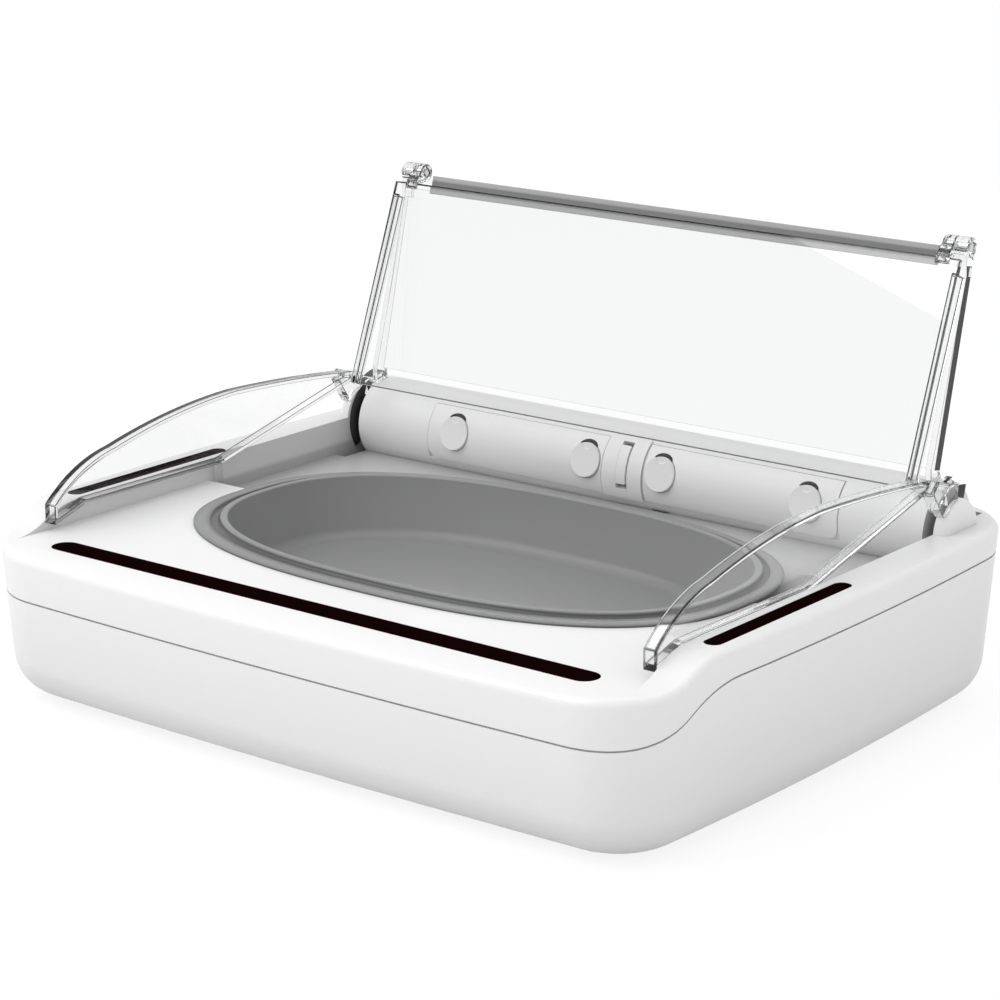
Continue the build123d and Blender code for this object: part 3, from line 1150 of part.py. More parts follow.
def delay_switch():
    """Slide knob with a foot that stops under the deck."""
    knob = block(SWITCH_X - SWITCH_LENGTH / 2, SWITCH_X + SWITCH_LENGTH / 2, PANEL_Y - SWITCH_WIDTH / 2,
                 PANEL_Y + SWITCH_WIDTH / 2, RAIL_UNDERSIDE - BUTTON_GAP - BUTTON_COLLAR_THICK,
                 RAIL_HEIGHT + SWITCH_PROUD)
    half = SWITCH_WIDTH / 2 + BUTTON_GAP + BUTTON_COLLAR
    foot = block(SWITCH_X - SWITCH_LENGTH, SWITCH_X + SWITCH_LENGTH, PANEL_Y - half, PANEL_Y + half,
                 RAIL_UNDERSIDE - BUTTON_GAP - BUTTON_COLLAR_THICK, RAIL_UNDERSIDE - BUTTON_GAP)
    return knob + foot


def button_board():
    """Board under the buttons, carried by two posts below the rear deck."""
    top = RAIL_UNDERSIDE - BUTTON_BOARD_DROP
    half = BUTTON_BOARD_WIDTH / 2
    board = block(-PANEL_HALF, PANEL_HALF, PANEL_Y - half, PANEL_Y + half, top - BOARD_THICK, top)
    for x in (-PANEL_HALF + BUTTON_RADIUS, PANEL_HALF - BUTTON_RADIUS):
        board += post(x, PANEL_Y, STANDOFF_RADIUS / 2, top, RAIL_UNDERSIDE)
    return board


def tactile_switches():
    """Small switches that the buttons press, and the slide switch's body."""
    base = RAIL_UNDERSIDE - BUTTON_BOARD_DROP
    top = RAIL_UNDERSIDE - 2 * BUTTON_GAP - BUTTON_COLLAR_THICK - BUTTON_TRAVEL
    front = PANEL_Y - TACT_SIZE / 2
    back = PANEL_Y + TACT_SIZE / 2
    bodies = [block(x - TACT_SIZE / 2, x + TACT_SIZE / 2, front, back, base, top)
              for x in (OPEN_BUTTON_X, MODE_BUTTON_X)]
    bodies.append(block(SWITCH_X - TACT_SIZE, SWITCH_X + TACT_SIZE + SWITCH_TRAVEL, front, back, base, top))
    return group(bodies)


# ---- feet and screws ----
def rubber_feet():
    feet = []
    for place in FOOT_PLACES:
        feet += both(post(*place, FOOT_RADIUS - SCREW_GAP, 0, BASE_BOTTOM + FOOT_SINK))
    return group(feet)


def case_screws():
    screws = []
    for place in SCREW_PLACES:
        seat = BASE_BOTTOM + SCREW_SINK + SCREW_HEAD_HIGH
        screw = post(*place, SCREW_HEAD, seat - SCREW_HEAD_HIGH, seat)
        screws += both(screw + post(*place, SCREW_RADIUS, seat, BOSS_JOIN + SCREW_BITE))
    return group(screws)


def build():
    """Every piece by its node's name."""
    cap = end_cap()
    cover = barrel_cover()
    side_window = side_sensor_window()
    guide = side_guide()
    hub = drive_hub()
    tray = battery_tray()
    door = battery_door()
    return {
        "lower_shell": lower_shell(),
        "upper_housing": upper_housing(),
        "barrel_housing": barrel_housing(),
        "left_end_cap": left(cap),
        "right_end_cap": cap,
        "left_barrel_cover": left(cover),
        "right_barrel_cover": cover,
        "cover_caps": cover_caps(),
        "centre_band": centre_band(),
        "release_lever": release_lever(),
        "lever_pin": lever_pin(),
        "front_sensor_window": front_sensor_window(),
        "left_sensor_window": left(side_window),
        "right_sensor_window": side_window,
        "bowl": bowl(),
        "left_side_guide": left(guide),
        "right_side_guide": guide,
        "rear_lid_panel": rear_lid_panel(),
        "front_lid_panel": front_lid_panel(),
        "fold_strip": fold_strip(),
        "fold_pins": fold_pins(),
        "guide_pegs": guide_pegs(),
        "drive_shaft": drive_shaft(),
        "left_drive_hub": left(hub),
        "right_drive_hub": hub,
        "shaft_bushes": shaft_bushes(),
        "drive_gear": drive_gear(),
        "idler_gear": idler_gear(),
        "idler_axle": idler_axle(),
        "motor_pinion": motor_pinion(),
        "gear_frame": gear_frame(),
        "gear_motor": gear_motor(),
        "c_cells": c_cells(),
        "battery_contacts": battery_contacts(),
        "left_battery_tray": left(tray),
        "right_battery_tray": tray,
        "left_battery_door": left(door),
        "right_battery_door": door,
        "control_board": control_board(),
        "board_components": board_components(),
        "front_sensor_board": front_sensor_board(),
        "side_sensor_boards": side_sensor_boards(),
        "sensor_leds": sensor_leds(),
        "control_panel": control_panel(),
        "open_close_button": push_button(OPEN_BUTTON_X),
        "mode_button": push_button(MODE_BUTTON_X),
        "delay_switch": delay_switch(),
        "button_board": button_board(),
        "tactile_switches": tactile_switches(),
        "rubber_feet": rubber_feet(),
        "case_screws": case_screws(),
    }


os.makedirs("parts", exist_ok=True)
for name, piece in build().items():
    export_step(piece, f"parts/{name}.step")
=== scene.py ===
import json
import logging
import math
from dataclasses import asdict, dataclass, replace
from enum import Enum

import bmesh
import bpy
import numpy as np
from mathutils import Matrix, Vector

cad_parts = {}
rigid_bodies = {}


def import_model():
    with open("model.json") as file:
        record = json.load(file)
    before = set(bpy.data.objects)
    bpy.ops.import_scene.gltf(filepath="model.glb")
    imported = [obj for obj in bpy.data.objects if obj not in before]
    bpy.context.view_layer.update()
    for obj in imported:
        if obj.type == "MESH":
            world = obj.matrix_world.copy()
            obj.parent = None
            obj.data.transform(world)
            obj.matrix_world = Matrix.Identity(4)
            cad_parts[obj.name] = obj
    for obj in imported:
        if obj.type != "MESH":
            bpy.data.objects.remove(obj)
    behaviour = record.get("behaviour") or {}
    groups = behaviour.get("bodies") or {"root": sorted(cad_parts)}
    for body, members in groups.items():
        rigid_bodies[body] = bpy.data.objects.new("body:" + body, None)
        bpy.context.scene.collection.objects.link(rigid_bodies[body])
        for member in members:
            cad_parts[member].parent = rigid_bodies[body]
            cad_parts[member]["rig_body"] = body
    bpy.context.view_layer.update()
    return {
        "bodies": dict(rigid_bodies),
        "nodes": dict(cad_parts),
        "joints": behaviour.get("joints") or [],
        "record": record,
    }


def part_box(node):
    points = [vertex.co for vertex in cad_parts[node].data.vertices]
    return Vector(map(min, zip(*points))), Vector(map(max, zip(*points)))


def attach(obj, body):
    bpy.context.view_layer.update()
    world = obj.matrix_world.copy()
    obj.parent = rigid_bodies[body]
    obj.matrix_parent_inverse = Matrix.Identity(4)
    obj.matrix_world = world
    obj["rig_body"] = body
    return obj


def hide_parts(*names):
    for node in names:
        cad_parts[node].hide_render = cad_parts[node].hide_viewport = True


LOG = logging.getLogger("feeder")
PURE_WHITE = (1.0, 1.0, 1.0, 1.0)

Triple = tuple[float, float, float]


# ---------------------------------------------------------------- shader tools


def new_node(tree: bpy.types.NodeTree, kind: str, **settings: object) -> bpy.types.Node:
    """Adds a node and sets its properties and plain input values.

    Args:
        tree: The node tree that gets the node.
        kind: The node's type name.
        settings: Property names with values, or input names with underscores for spaces.

    Returns:
        The new node.
    """
    node = tree.nodes.new(kind)
    for name, value in settings.items():
        if hasattr(node, name):
            setattr(node, name, value)
        else:
            node.inputs[name.replace("_", " ")].default_value = value
    return node


def combined(tree: bpy.types.NodeTree, operation: str,
             *sockets: bpy.types.NodeSocket) -> bpy.types.NodeSocket:
    """Makes one value of several, by applying a math operation to them in turn.

    Args:
        tree: The node tree that gets the math nodes.
        operation: The operation's name.
        sockets: The sockets that give the values.

    Returns:
        The socket that gives the result.
    """
    total, *others = sockets
    for socket in others:
        step = new_node(tree, "ShaderNodeMath", operation=operation)
        tree.links.new(total, step.inputs[0])
        tree.links.new(socket, step.inputs[1])
        total = step.outputs[0]
    return total


def ray_mask(tree: bpy.types.NodeTree, *kinds: str) -> bpy.types.NodeSocket:
    """Gives a value that is 1 for some kinds of ray and 0 for all others.

    Args:
        tree: The node tree of a material or of the world.
        kinds: The names of the Light Path outputs that count.

    Returns:
        The socket that gives the value.
    """
    ray = new_node(tree, "ShaderNodeLightPath")
    return combined(tree, "MAXIMUM", *(ray.outputs[kind] for kind in kinds))


def mix_into(end: bpy.types.NodeSocket, share: bpy.types.NodeSocket, *shaders: bpy.types.Node) -> None:
    """Mixes two shaders and puts the mixture on a surface.

    Args:
        end: The output node's surface socket.
        share: The socket that gives the second shader's share.
        shaders: The two shader nodes.
    """
    tree = end.id_data
    mix = new_node(tree, "ShaderNodeMixShader")
    tree.links.new(share, mix.inputs["Fac"])
    for place, shader in enumerate(shaders, start=1):
        tree.links.new(shader.outputs[0], mix.inputs[place])
    tree.links.new(mix.outputs[0], end)


GRAIN_GROUP = "moulded_grain_and_painted_shade"
GRAIN_INPUTS = (
    ("Colour", "NodeSocketColor", (0.8, 0.8, 0.8, 1.0)),
    ("Shade Spread", "NodeSocketFloat", 0.03),
    ("Roughness", "NodeSocketFloat", 0.4),
    ("Roughness Spread", "NodeSocketFloat", 0.08),
    ("Grain Scale", "NodeSocketFloat", 2500.0),
    ("Grain Strength", "NodeSocketFloat", 0.1),
    ("Grain Height", "NodeSocketFloat", 0.00002),
    ("Patch Scale", "NodeSocketFloat", 30.0),
    ("Recess Shade", "NodeSocketFloat", 0.0),
    ("Recess Reach", "NodeSocketFloat", 0.05),
)
GRAIN_OUTPUTS = (
    ("Colour", "NodeSocketColor"),
    ("Roughness", "NodeSocketFloat"),
    ("Normal", "NodeSocketVector"),
)
# Most of a noise texture's values lie between these two.
NOISE_LOW, NOISE_HIGH = 0.3, 0.7
RECESS_SAMPLES = 6


def grain_and_shade_group() -> bpy.types.NodeTree:
    """The moulded-surface effect: a fine grain, slow patches in shade and gloss, and painted shade in
    recesses.

    Slow noise multiplies the colour by 1 minus the shade spread up to 1, and moves the roughness by its
    spread either way. The recess shade is painted shade: the share by which the colour is multiplied by how
    open its place is within the recess reach, an ambient occlusion mask. Fine noise is the height of the
    bump.

    Returns:
        A shader node group with outputs for colour, roughness and normal.
    """
    if GRAIN_GROUP in bpy.data.node_groups:
        return bpy.data.node_groups[GRAIN_GROUP]
    group = bpy.data.node_groups.new(GRAIN_GROUP, "ShaderNodeTree")
    for label, kind, value in GRAIN_INPUTS:
        socket = group.interface.new_socket(name=label, in_out="INPUT", socket_type=kind)
        socket.default_value = value
    for label, kind in GRAIN_OUTPUTS:
        group.interface.new_socket(name=label, in_out="OUTPUT", socket_type=kind)
    link = group.links.new
    given = new_node(group, "NodeGroupInput").outputs
    result = new_node(group, "NodeGroupOutput").inputs
    place = new_node(group, "ShaderNodeTexCoord").outputs["Object"]
    patches = new_node(group, "ShaderNodeTexNoise", Detail=3.0, Roughness=0.55)
    grain = new_node(group, "ShaderNodeTexNoise", Detail=2.0, Roughness=0.5)
    for texture, scale in ((patches, "Patch Scale"), (grain, "Grain Scale")):
        link(place, texture.inputs["Vector"])
        link(given[scale], texture.inputs["Scale"])

    lowest = new_node(group, "ShaderNodeMath", operation="SUBTRACT")
    lowest.inputs[0].default_value = 1.0
    shade = new_node(group, "ShaderNodeMapRange", From_Min=NOISE_LOW, From_Max=NOISE_HIGH)
    patched = new_node(group, "ShaderNodeMix", data_type="RGBA", blend_type="MULTIPLY", Factor=1.0)
    link(given["Shade Spread"], lowest.inputs[1])
    link(patches.outputs["Fac"], shade.inputs["Value"])
    link(lowest.outputs[0], shade.inputs["To Min"])
    link(given["Colour"], patched.inputs["A"])
    link(shade.outputs["Result"], patched.inputs["B"])

    # Painted shade: an ambient occlusion mask darkens the colour in recesses.
    openness = new_node(group, "ShaderNodeAmbientOcclusion", samples=RECESS_SAMPLES)
    recess_shaded = new_node(group, "ShaderNodeMix", data_type="RGBA", blend_type="MULTIPLY")
    link(given["Recess Reach"], openness.inputs["Distance"])
    link(given["Recess Shade"], recess_shaded.inputs["Factor"])
    link(patched.outputs["Result"], recess_shaded.inputs["A"])
    link(openness.outputs["AO"], recess_shaded.inputs["B"])
    link(recess_shaded.outputs["Result"], result["Colour"])

    rough = new_node(group, "ShaderNodeMapRange", From_Min=NOISE_LOW, From_Max=NOISE_HIGH)
    link(patches.outputs["Fac"], rough.inputs["Value"])
    for operation, limit in (("SUBTRACT", "To Min"), ("ADD", "To Max")):
        link(combined(group, operation, given["Roughness"], given["Roughness Spread"]), rough.inputs[limit])
    link(rough.outputs["Result"], result["Roughness"])

    bump = new_node(group, "ShaderNodeBump")
    link(grain.outputs["Fac"], bump.inputs["Height"])
    link(given["Grain Strength"], bump.inputs["Strength"])
    link(given["Grain Height"], bump.inputs["Distance"])
    link(bump.outputs["Normal"], result["Normal"])
    return group


# ---------------------------------------------------------------- finishes


@dataclass(frozen=True)
class Finish:
    """A named finish, whose material is built once."""

    name: str

    def material(self) -> bpy.types.Material:
        """Builds the material, or gives the one already built.

        Returns:
            The material.
        """
        if self.name in bpy.data.materials:
            return bpy.data.materials[self.name]
        made = bpy.data.materials.new(self.name)
        made.use_nodes = True
        self.dress(made.node_tree)
        return made

    def dress(self, tree: bpy.types.NodeTree) -> None:
        """Sets up a material's nodes, which each kind of finish does in its own way."""
        raise NotImplementedError


@dataclass(frozen=True)
class Moulded(Finish):
    """A moulded plastic or rubber finish with a fine grain, and painted shade in recesses."""

    colour: Triple
    roughness: float = 0.35
    roughness_spread: float = 0.04
    shade_spread: float = 0.02
    grain_scale: float = 2200.0
    grain_strength: float = 0.12
    grain_height: float = 0.00002
    patch_scale: float = 22.0
    coat: float = 0.0
    coat_roughness: float = 0.1
    specular: float = 0.5
    # How far painted shade darkens the colour in recesses, by ambient occlusion within the recess reach.
    recess_shade: float = 0.0
    recess_reach: float = 0.05

    def dress(self, tree: bpy.types.NodeTree) -> None:
        """Joins the grain and painted-shade group to the material's shader.

        Args:
            tree: The material's node tree.
        """
        shader = tree.nodes["Principled BSDF"]
        shader.inputs["Coat Weight"].default_value = self.coat
        shader.inputs["Coat Roughness"].default_value = self.coat_roughness
        shader.inputs["Specular IOR Level"].default_value = self.specular
        grain = new_node(
            tree, "ShaderNodeGroup", name="grain", node_tree=grain_and_shade_group(), Colour=(*self.colour, 1.0),
            Shade_Spread=self.shade_spread, Roughness=self.roughness, Roughness_Spread=self.roughness_spread,
            Grain_Scale=self.grain_scale, Grain_Strength=self.grain_strength, Grain_Height=self.grain_height,
            Patch_Scale=self.patch_scale, Recess_Shade=self.recess_shade, Recess_Reach=self.recess_reach,
        )
        tree.links.new(grain.outputs["Colour"], shader.inputs["Base Color"])
        tree.links.new(grain.outputs["Roughness"], shader.inputs["Roughness"])
        tree.links.new(grain.outputs["Normal"], shader.inputs["Normal"])


@dataclass(frozen=True)
class Boxed(Moulded):
    """A moulded finish with a second shade inside a soft-edged upright box, in the part's own frame."""

    box_colour: Triple = (0.1, 0.1, 0.1)
    box_low: Triple = (-1.0, -1.0, -1.0)
    box_high: Triple = (1.0, 1.0, 1.0)
    blur: float = 0.0004

    def dress(self, tree: bpy.types.NodeTree) -> None:
        """Gives the grain group a colour that is mixed by place.

        The second shade's share is the product of six ramps, one for each side of the box. Each runs between
        0 outside and 1 inside, over the blur either way of that side.

        Args:
            tree: The material's node tree.
        """
        super().dress(tree)
        place = new_node(tree, "ShaderNodeTexCoord")
        axes = new_node(tree, "ShaderNodeSeparateXYZ")
        tree.links.new(place.outputs["Object"], axes.inputs["Vector"])
        ramps = []
        for axis, low, high in zip("XYZ", self.box_low, self.box_high):
            for limit, before, after in ((low, 0.0, 1.0), (high, 1.0, 0.0)):
                ramp = new_node(tree, "ShaderNodeMapRange", From_Min=limit - self.blur,
                                From_Max=limit + self.blur, To_Min=before, To_Max=after)
                tree.links.new(axes.outputs[axis], ramp.inputs["Value"])
                ramps.append(ramp.outputs["Result"])
        mix = new_node(tree, "ShaderNodeMix", data_type="RGBA", A=(*self.colour, 1.0),
                       B=(*self.box_colour, 1.0))
        tree.links.new(combined(tree, "MULTIPLY", *ramps), mix.inputs["Factor"])
        tree.links.new(mix.outputs["Result"], tree.nodes["grain"].inputs["Colour"])


@dataclass(frozen=True)
class Clear(Finish):
    """Clear polished plastic with painted shade along its edges, standing in for the darkening where light
    travels far inside it.
    """

    face_tint: Triple = (0.995, 0.997, 0.998)
    painted_edge_shade: Triple = (0.12, 0.12, 0.125)
    edge_start: float = 0.66
    edge_end: float = 0.95
    roughness: float = 0.01
    ior: float = 1.45
    inner_colour: Triple = (0.0, 0.01, 0.02)
    absorption: float = 20.0
    shadow_tint: Triple = (0.96, 0.96, 0.96)

    def dress(self, tree: bpy.types.NodeTree) -> None:
        """Paints shade into the clear shader's tint by how edge-on the surface is, and lets shadow and
        diffuse rays through.

        Args:
            tree: The material's node tree.
        """
        shader = tree.nodes["Principled BSDF"]
        shader.inputs["Transmission Weight"].default_value = 1.0
        shader.inputs["Metallic"].default_value = 0.0
        shader.inputs["Roughness"].default_value = self.roughness
        shader.inputs["IOR"].default_value = self.ior
        # Painted shade: the tint turns dark as the surface turns edge-on.
        weight = new_node(tree, "ShaderNodeLayerWeight", Blend=0.5)
        ramp = new_node(tree, "ShaderNodeMapRange", From_Min=self.edge_start, From_Max=self.edge_end)
        tint = new_node(tree, "ShaderNodeMix", data_type="RGBA", A=(*self.face_tint, 1.0),
                        B=(*self.painted_edge_shade, 1.0))
        tree.links.new(weight.outputs["Facing"], ramp.inputs["Value"])
        tree.links.new(ramp.outputs["Result"], tint.inputs["Factor"])
        tree.links.new(tint.outputs["Result"], shader.inputs["Base Color"])
        through = new_node(tree, "ShaderNodeBsdfTransparent", Color=(*self.shadow_tint, 1.0))
        inside = new_node(tree, "ShaderNodeVolumeAbsorption", Density=self.absorption,
                          Color=(*self.inner_colour, 1.0))
        leave = tree.nodes["Material Output"]
        mix_into(leave.inputs["Surface"], ray_mask(tree, "Is Shadow Ray", "Is Diffuse Ray"), shader, through)
        tree.links.new(inside.outputs["Volume"], leave.inputs["Volume"])


@dataclass(frozen=True)
class Metal(Finish):
    """Drawn or plated metal with fine scratches along X."""

    colour: Triple
    roughness: float = 0.28
    roughness_share: float = 0.3
    scratch_scale: float = 90.0
    stretch: float = 40.0

    def dress(self, tree: bpy.types.NodeTree) -> None:
        """Moves the roughness by its share either way, by noise that is drawn out along X.

        Args:
            tree: The material's node tree.
        """
        shader = tree.nodes["Principled BSDF"]
        shader.inputs["Metallic"].default_value = 1.0
        shader.inputs["Base Color"].default_value = (*self.colour, 1.0)
        place = new_node(tree, "ShaderNodeTexCoord")
        pull = new_node(tree, "ShaderNodeMapping", Scale=(1.0, self.stretch, self.stretch))
        scratches = new_node(tree, "ShaderNodeTexNoise", Scale=self.scratch_scale, Detail=3.0)
        rough = new_node(tree, "ShaderNodeMapRange", To_Min=self.roughness * (1 - self.roughness_share),
                         To_Max=self.roughness * (1 + self.roughness_share))
        tree.links.new(place.outputs["Object"], pull.inputs["Vector"])
        tree.links.new(pull.outputs["Vector"], scratches.inputs["Vector"])
        tree.links.new(scratches.outputs["Fac"], rough.inputs["Value"])
        tree.links.new(rough.outputs["Result"], shader.inputs["Roughness"])


# The box of painted shade: the recess behind the bowl, between the side rails, back to the barrel, and round
# its floor's height.
PAINTED_SHADE_LOW, PAINTED_SHADE_HIGH = (-0.1369, -0.0084, 0.0490), (0.1369, 0.1105, 0.0576)
# The middle of the fold strip's height, over all its length and depth.
BAND_LOW, BAND_HIGH = (-1.0, -1.0, 0.1588), (1.0, 1.0, 0.1622)

# The casing white has painted shade: ambient occlusion darkens its recesses and its walls low down near the
# floor.
WHITE = Moulded("white_casing", (0.87, 0.87, 0.872), roughness=0.36, shade_spread=0.006, grain_strength=0.06,
                recess_shade=0.36, recess_reach=0.09)
# The housing's white plastic is painted a darker grey over the recess floor behind the bowl, as painted
# shade.
HOUSING_WITH_PAINTED_SHADE = Boxed(**asdict(replace(WHITE, name="white_housing_painted_shade")), box_colour=(0.58, 0.58, 0.582),
                      box_low=PAINTED_SHADE_LOW, box_high=PAINTED_SHADE_HIGH, blur=0.0009)
# The barrel is the casing white with weaker painted shade in its recesses.
BARREL_WHITE = replace(WHITE, name="white_barrel", recess_shade=0.14)
# The bowl has strong painted shade in its creases, by ambient occlusion over a short reach.
BOWL_GREY = Moulded("satin_bowl", (0.25, 0.251, 0.253), roughness=0.36, shade_spread=0.02, coat=0.1,
                    specular=0.3, recess_shade=0.8, recess_reach=0.006)
# The groove round the bowl's lip is painted a darker grey: painted shade on the raised lip's outer side.
GROOVE_SHADE = replace(BOWL_GREY, name="groove_painted_shade", colour=(0.115, 0.115, 0.117))
WINDOW = Moulded("infrared_window", (0.006, 0.0015, 0.0015), roughness=0.4, grain_strength=0.01, specular=0.0)
STRIP = Boxed("satin_strip", (0.42, 0.42, 0.425), roughness=0.4, box_colour=(0.2, 0.2, 0.205),
              box_low=BAND_LOW, box_high=BAND_HIGH)
ACETAL = Moulded("natural_acetal", (0.78, 0.77, 0.70), roughness=0.45)
BLACK = Moulded("matte_black", (0.02, 0.02, 0.022), roughness=0.5, grain_strength=0.3)
BUTTON = Moulded("matte_button", (0.16, 0.165, 0.17), roughness=0.45, grain_strength=0.3)
BOARD = Moulded("solder_mask", (0.02, 0.11, 0.04), roughness=0.3, shade_spread=0.2, patch_scale=160.0)
WRAP = Moulded("wrapped_cell", (0.05, 0.06, 0.07), roughness=0.22, coat=0.5)
RUBBER = Moulded("soft_rubber", (0.03, 0.03, 0.03), roughness=0.75, grain_strength=0.5, grain_height=0.00006)
LAMP = Moulded("tinted_lamp", (0.05, 0.04, 0.08), roughness=0.08, coat=0.6)
STEEL = Metal("drawn_steel", (0.62, 0.62, 0.63))
CLEAR = Clear("polished_clear")
# The rounded edges of clear pieces are tinted dark grey, as painted shade along their rims.
CLEAR_RIM_SHADE = Clear("clear_rim_painted_shade", face_tint=(0.36, 0.36, 0.365), painted_edge_shade=(0.05, 0.05, 0.052))

FINISHES: dict[str, Finish] = {
    "white_plastic": WHITE,
    "clear_plastic": CLEAR,
    "bowl_grey": BOWL_GREY,
    "window_black": WINDOW,
    "strip_grey": STRIP,
    "steel": STEEL,
    "gear_white": ACETAL,
    "black_plastic": BLACK,
    "button_grey": BUTTON,
    "board_green": BOARD,
    "cell_wrap": WRAP,
    "foot_rubber": RUBBER,
    "lamp_clear": LAMP,
}


# ---------------------------------------------------------------- mesh tools

MERGE_DISTANCE = 1e-6
FLAT_TURN = math.radians(0.05)
SHARP_TURN = math.radians(28.0)


class Edge(Enum):
    """How far the edges of a moulded piece are softened, in metres."""

    FINE = 0.00015
    SOFT = 0.00035
    ROUND = 0.0005


def link(piece: bpy.types.Object, body: str, slot: str, *nodes: str, finish: Finish | None = None) -> None:
    """Puts a new piece in the scene, on its body and in place of CAD nodes.

    Args:
        piece: The new object.
        body: The body that it rides on.
        slot: The material slot whose finish it takes.
        nodes: The CAD nodes that it stands for.
        finish: A finish of its own, or nothing for the slot's finish.
    """
    bpy.context.scene.collection.objects.link(piece)
    piece.data.materials.clear()
    piece.data.materials.append((finish or FINISHES[slot]).material())
    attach(piece, body)
    if nodes:
        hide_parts(*nodes)
    LOG.info("%s rides on %s", piece.name, body)


def soften(piece: bpy.types.Object, edge: Edge, rim: Finish | None = None) -> None:
    """Rounds a piece's sharp edges and keeps its flat faces flat in the light.

    Args:
        piece: The object that gets the modifiers.
        edge: The size of the rounding.
        rim: The finish of the rounded edges, or nothing for the piece's own.
    """
    cut = piece.modifiers.new("edges", "BEVEL")
    cut.width = edge.value
    cut.segments = 3
    cut.limit_method = "ANGLE"
    cut.angle_limit = SHARP_TURN
    if rim:
        piece.data.materials.append(rim.material())
        cut.material = 1
    weigh = piece.modifiers.new("shading", "WEIGHTED_NORMAL")
    weigh.weight = 100
    weigh.keep_sharp = False


def node_copy(frame: dict, node: str, slot: str, edge: Edge, finish: Finish | None) -> None:
    """Makes a merged, softened copy of a CAD node, which stands in for it.

    Args:
        node: The CAD node's name.
        slot: The material slot whose finish it takes.
        edge: The size of its edge rounding.
        finish: A finish of its own, or nothing for the slot's finish.
    """
    source = frame["nodes"][node]
    mesh = bpy.data.meshes.new(node)
    work = bmesh.new()
    work.from_mesh(source.data)
    vectors = work.verts.layers.float_vector
    for name in vectors.keys():
        vectors.remove(vectors[name])
    bmesh.ops.remove_doubles(work, verts=work.verts, dist=MERGE_DISTANCE)
    bmesh.ops.dissolve_limit(work, angle_limit=FLAT_TURN, verts=work.verts, edges=work.edges)
    bmesh.ops.recalc_face_normals(work, faces=work.faces)
    work.to_mesh(mesh)
    work.free()
    for name in ("custom_normal", "sharp_edge", "sharp_face"):
        if name in mesh.attributes:
            mesh.attributes.remove(mesh.attributes[name])
    mesh.shade_smooth()
    piece = bpy.data.objects.new(node + "_skin", mesh)
    link(piece, source["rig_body"], slot, node, finish=finish)
    # Clear pieces get painted shade on their rounded edges.
    soften(piece, edge, CLEAR_RIM_SHADE if slot == "clear_plastic" else None)


def ring_surface(name: str, rings: np.ndarray) -> bpy.types.Mesh:
    """Makes a closed surface through rings of points.

    Points j and j + 1 of ring i and of ring i + 1 are the corners of a four-sided face, and one more face
    closes each end ring. The faces go ring by ring, with the two end faces last.

    Args:
        name: The mesh's name.
        rings: Points as an array of rings by points round each ring by three.

    Returns:
        The new mesh, with its normals outward.
    """
    count, around = rings.shape[:2]
    index = np.arange(count * around).reshape(count, around)
    following = np.roll(index, -1, axis=1)
    quads = np.stack([index[:-1], following[:-1], following[1:], index[1:]], axis=-1).reshape(-1, 4)
    faces = [*quads.tolist(), index[0, ::-1].tolist(), index[-1].tolist()]
    mesh = bpy.data.meshes.new(name)
    mesh.from_pydata(rings.reshape(-1, 3).tolist(), [], faces)
    work = bmesh.new()
    work.from_mesh(mesh)
    bmesh.ops.recalc_face_normals(work, faces=work.faces)
    work.to_mesh(mesh)
    work.free()
    mesh.shade_smooth()
    return mesh


# ---------------------------------------------------------------- the feeder


@dataclass
class Assembly:
    """A group of CAD nodes that are shown as softened copies."""

    frame: dict
    nodes: tuple[str, ...] = ()
    edge: Edge = Edge.SOFT
    finish: Finish | None = None

    def slot(self, node: str) -> str:
        """The material slot that the record gives a node."""
        subparts = self.frame["record"]["subparts"]
        return next(part["material_slot"] for part in subparts if part["node"] == node)

    def body(self, node: str) -> str:
        """The body that a node rides on."""
        return self.frame["nodes"][node]["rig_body"]

    def build(self) -> None:
        """Makes every piece of the group."""
        for node in self.nodes:
            node_copy(self.frame, node, self.slot(node), self.edge, self.finish)


@dataclass
class Casing(Assembly):
    """The white base and housing."""

    nodes: tuple[str, ...] = ("lower_shell", "upper_housing")
    # The casing's finish paints shade over the recess behind the bowl, and ambient occlusion shade in its
    # creases.
    finish: Finish | None = HOUSING_WITH_PAINTED_SHADE


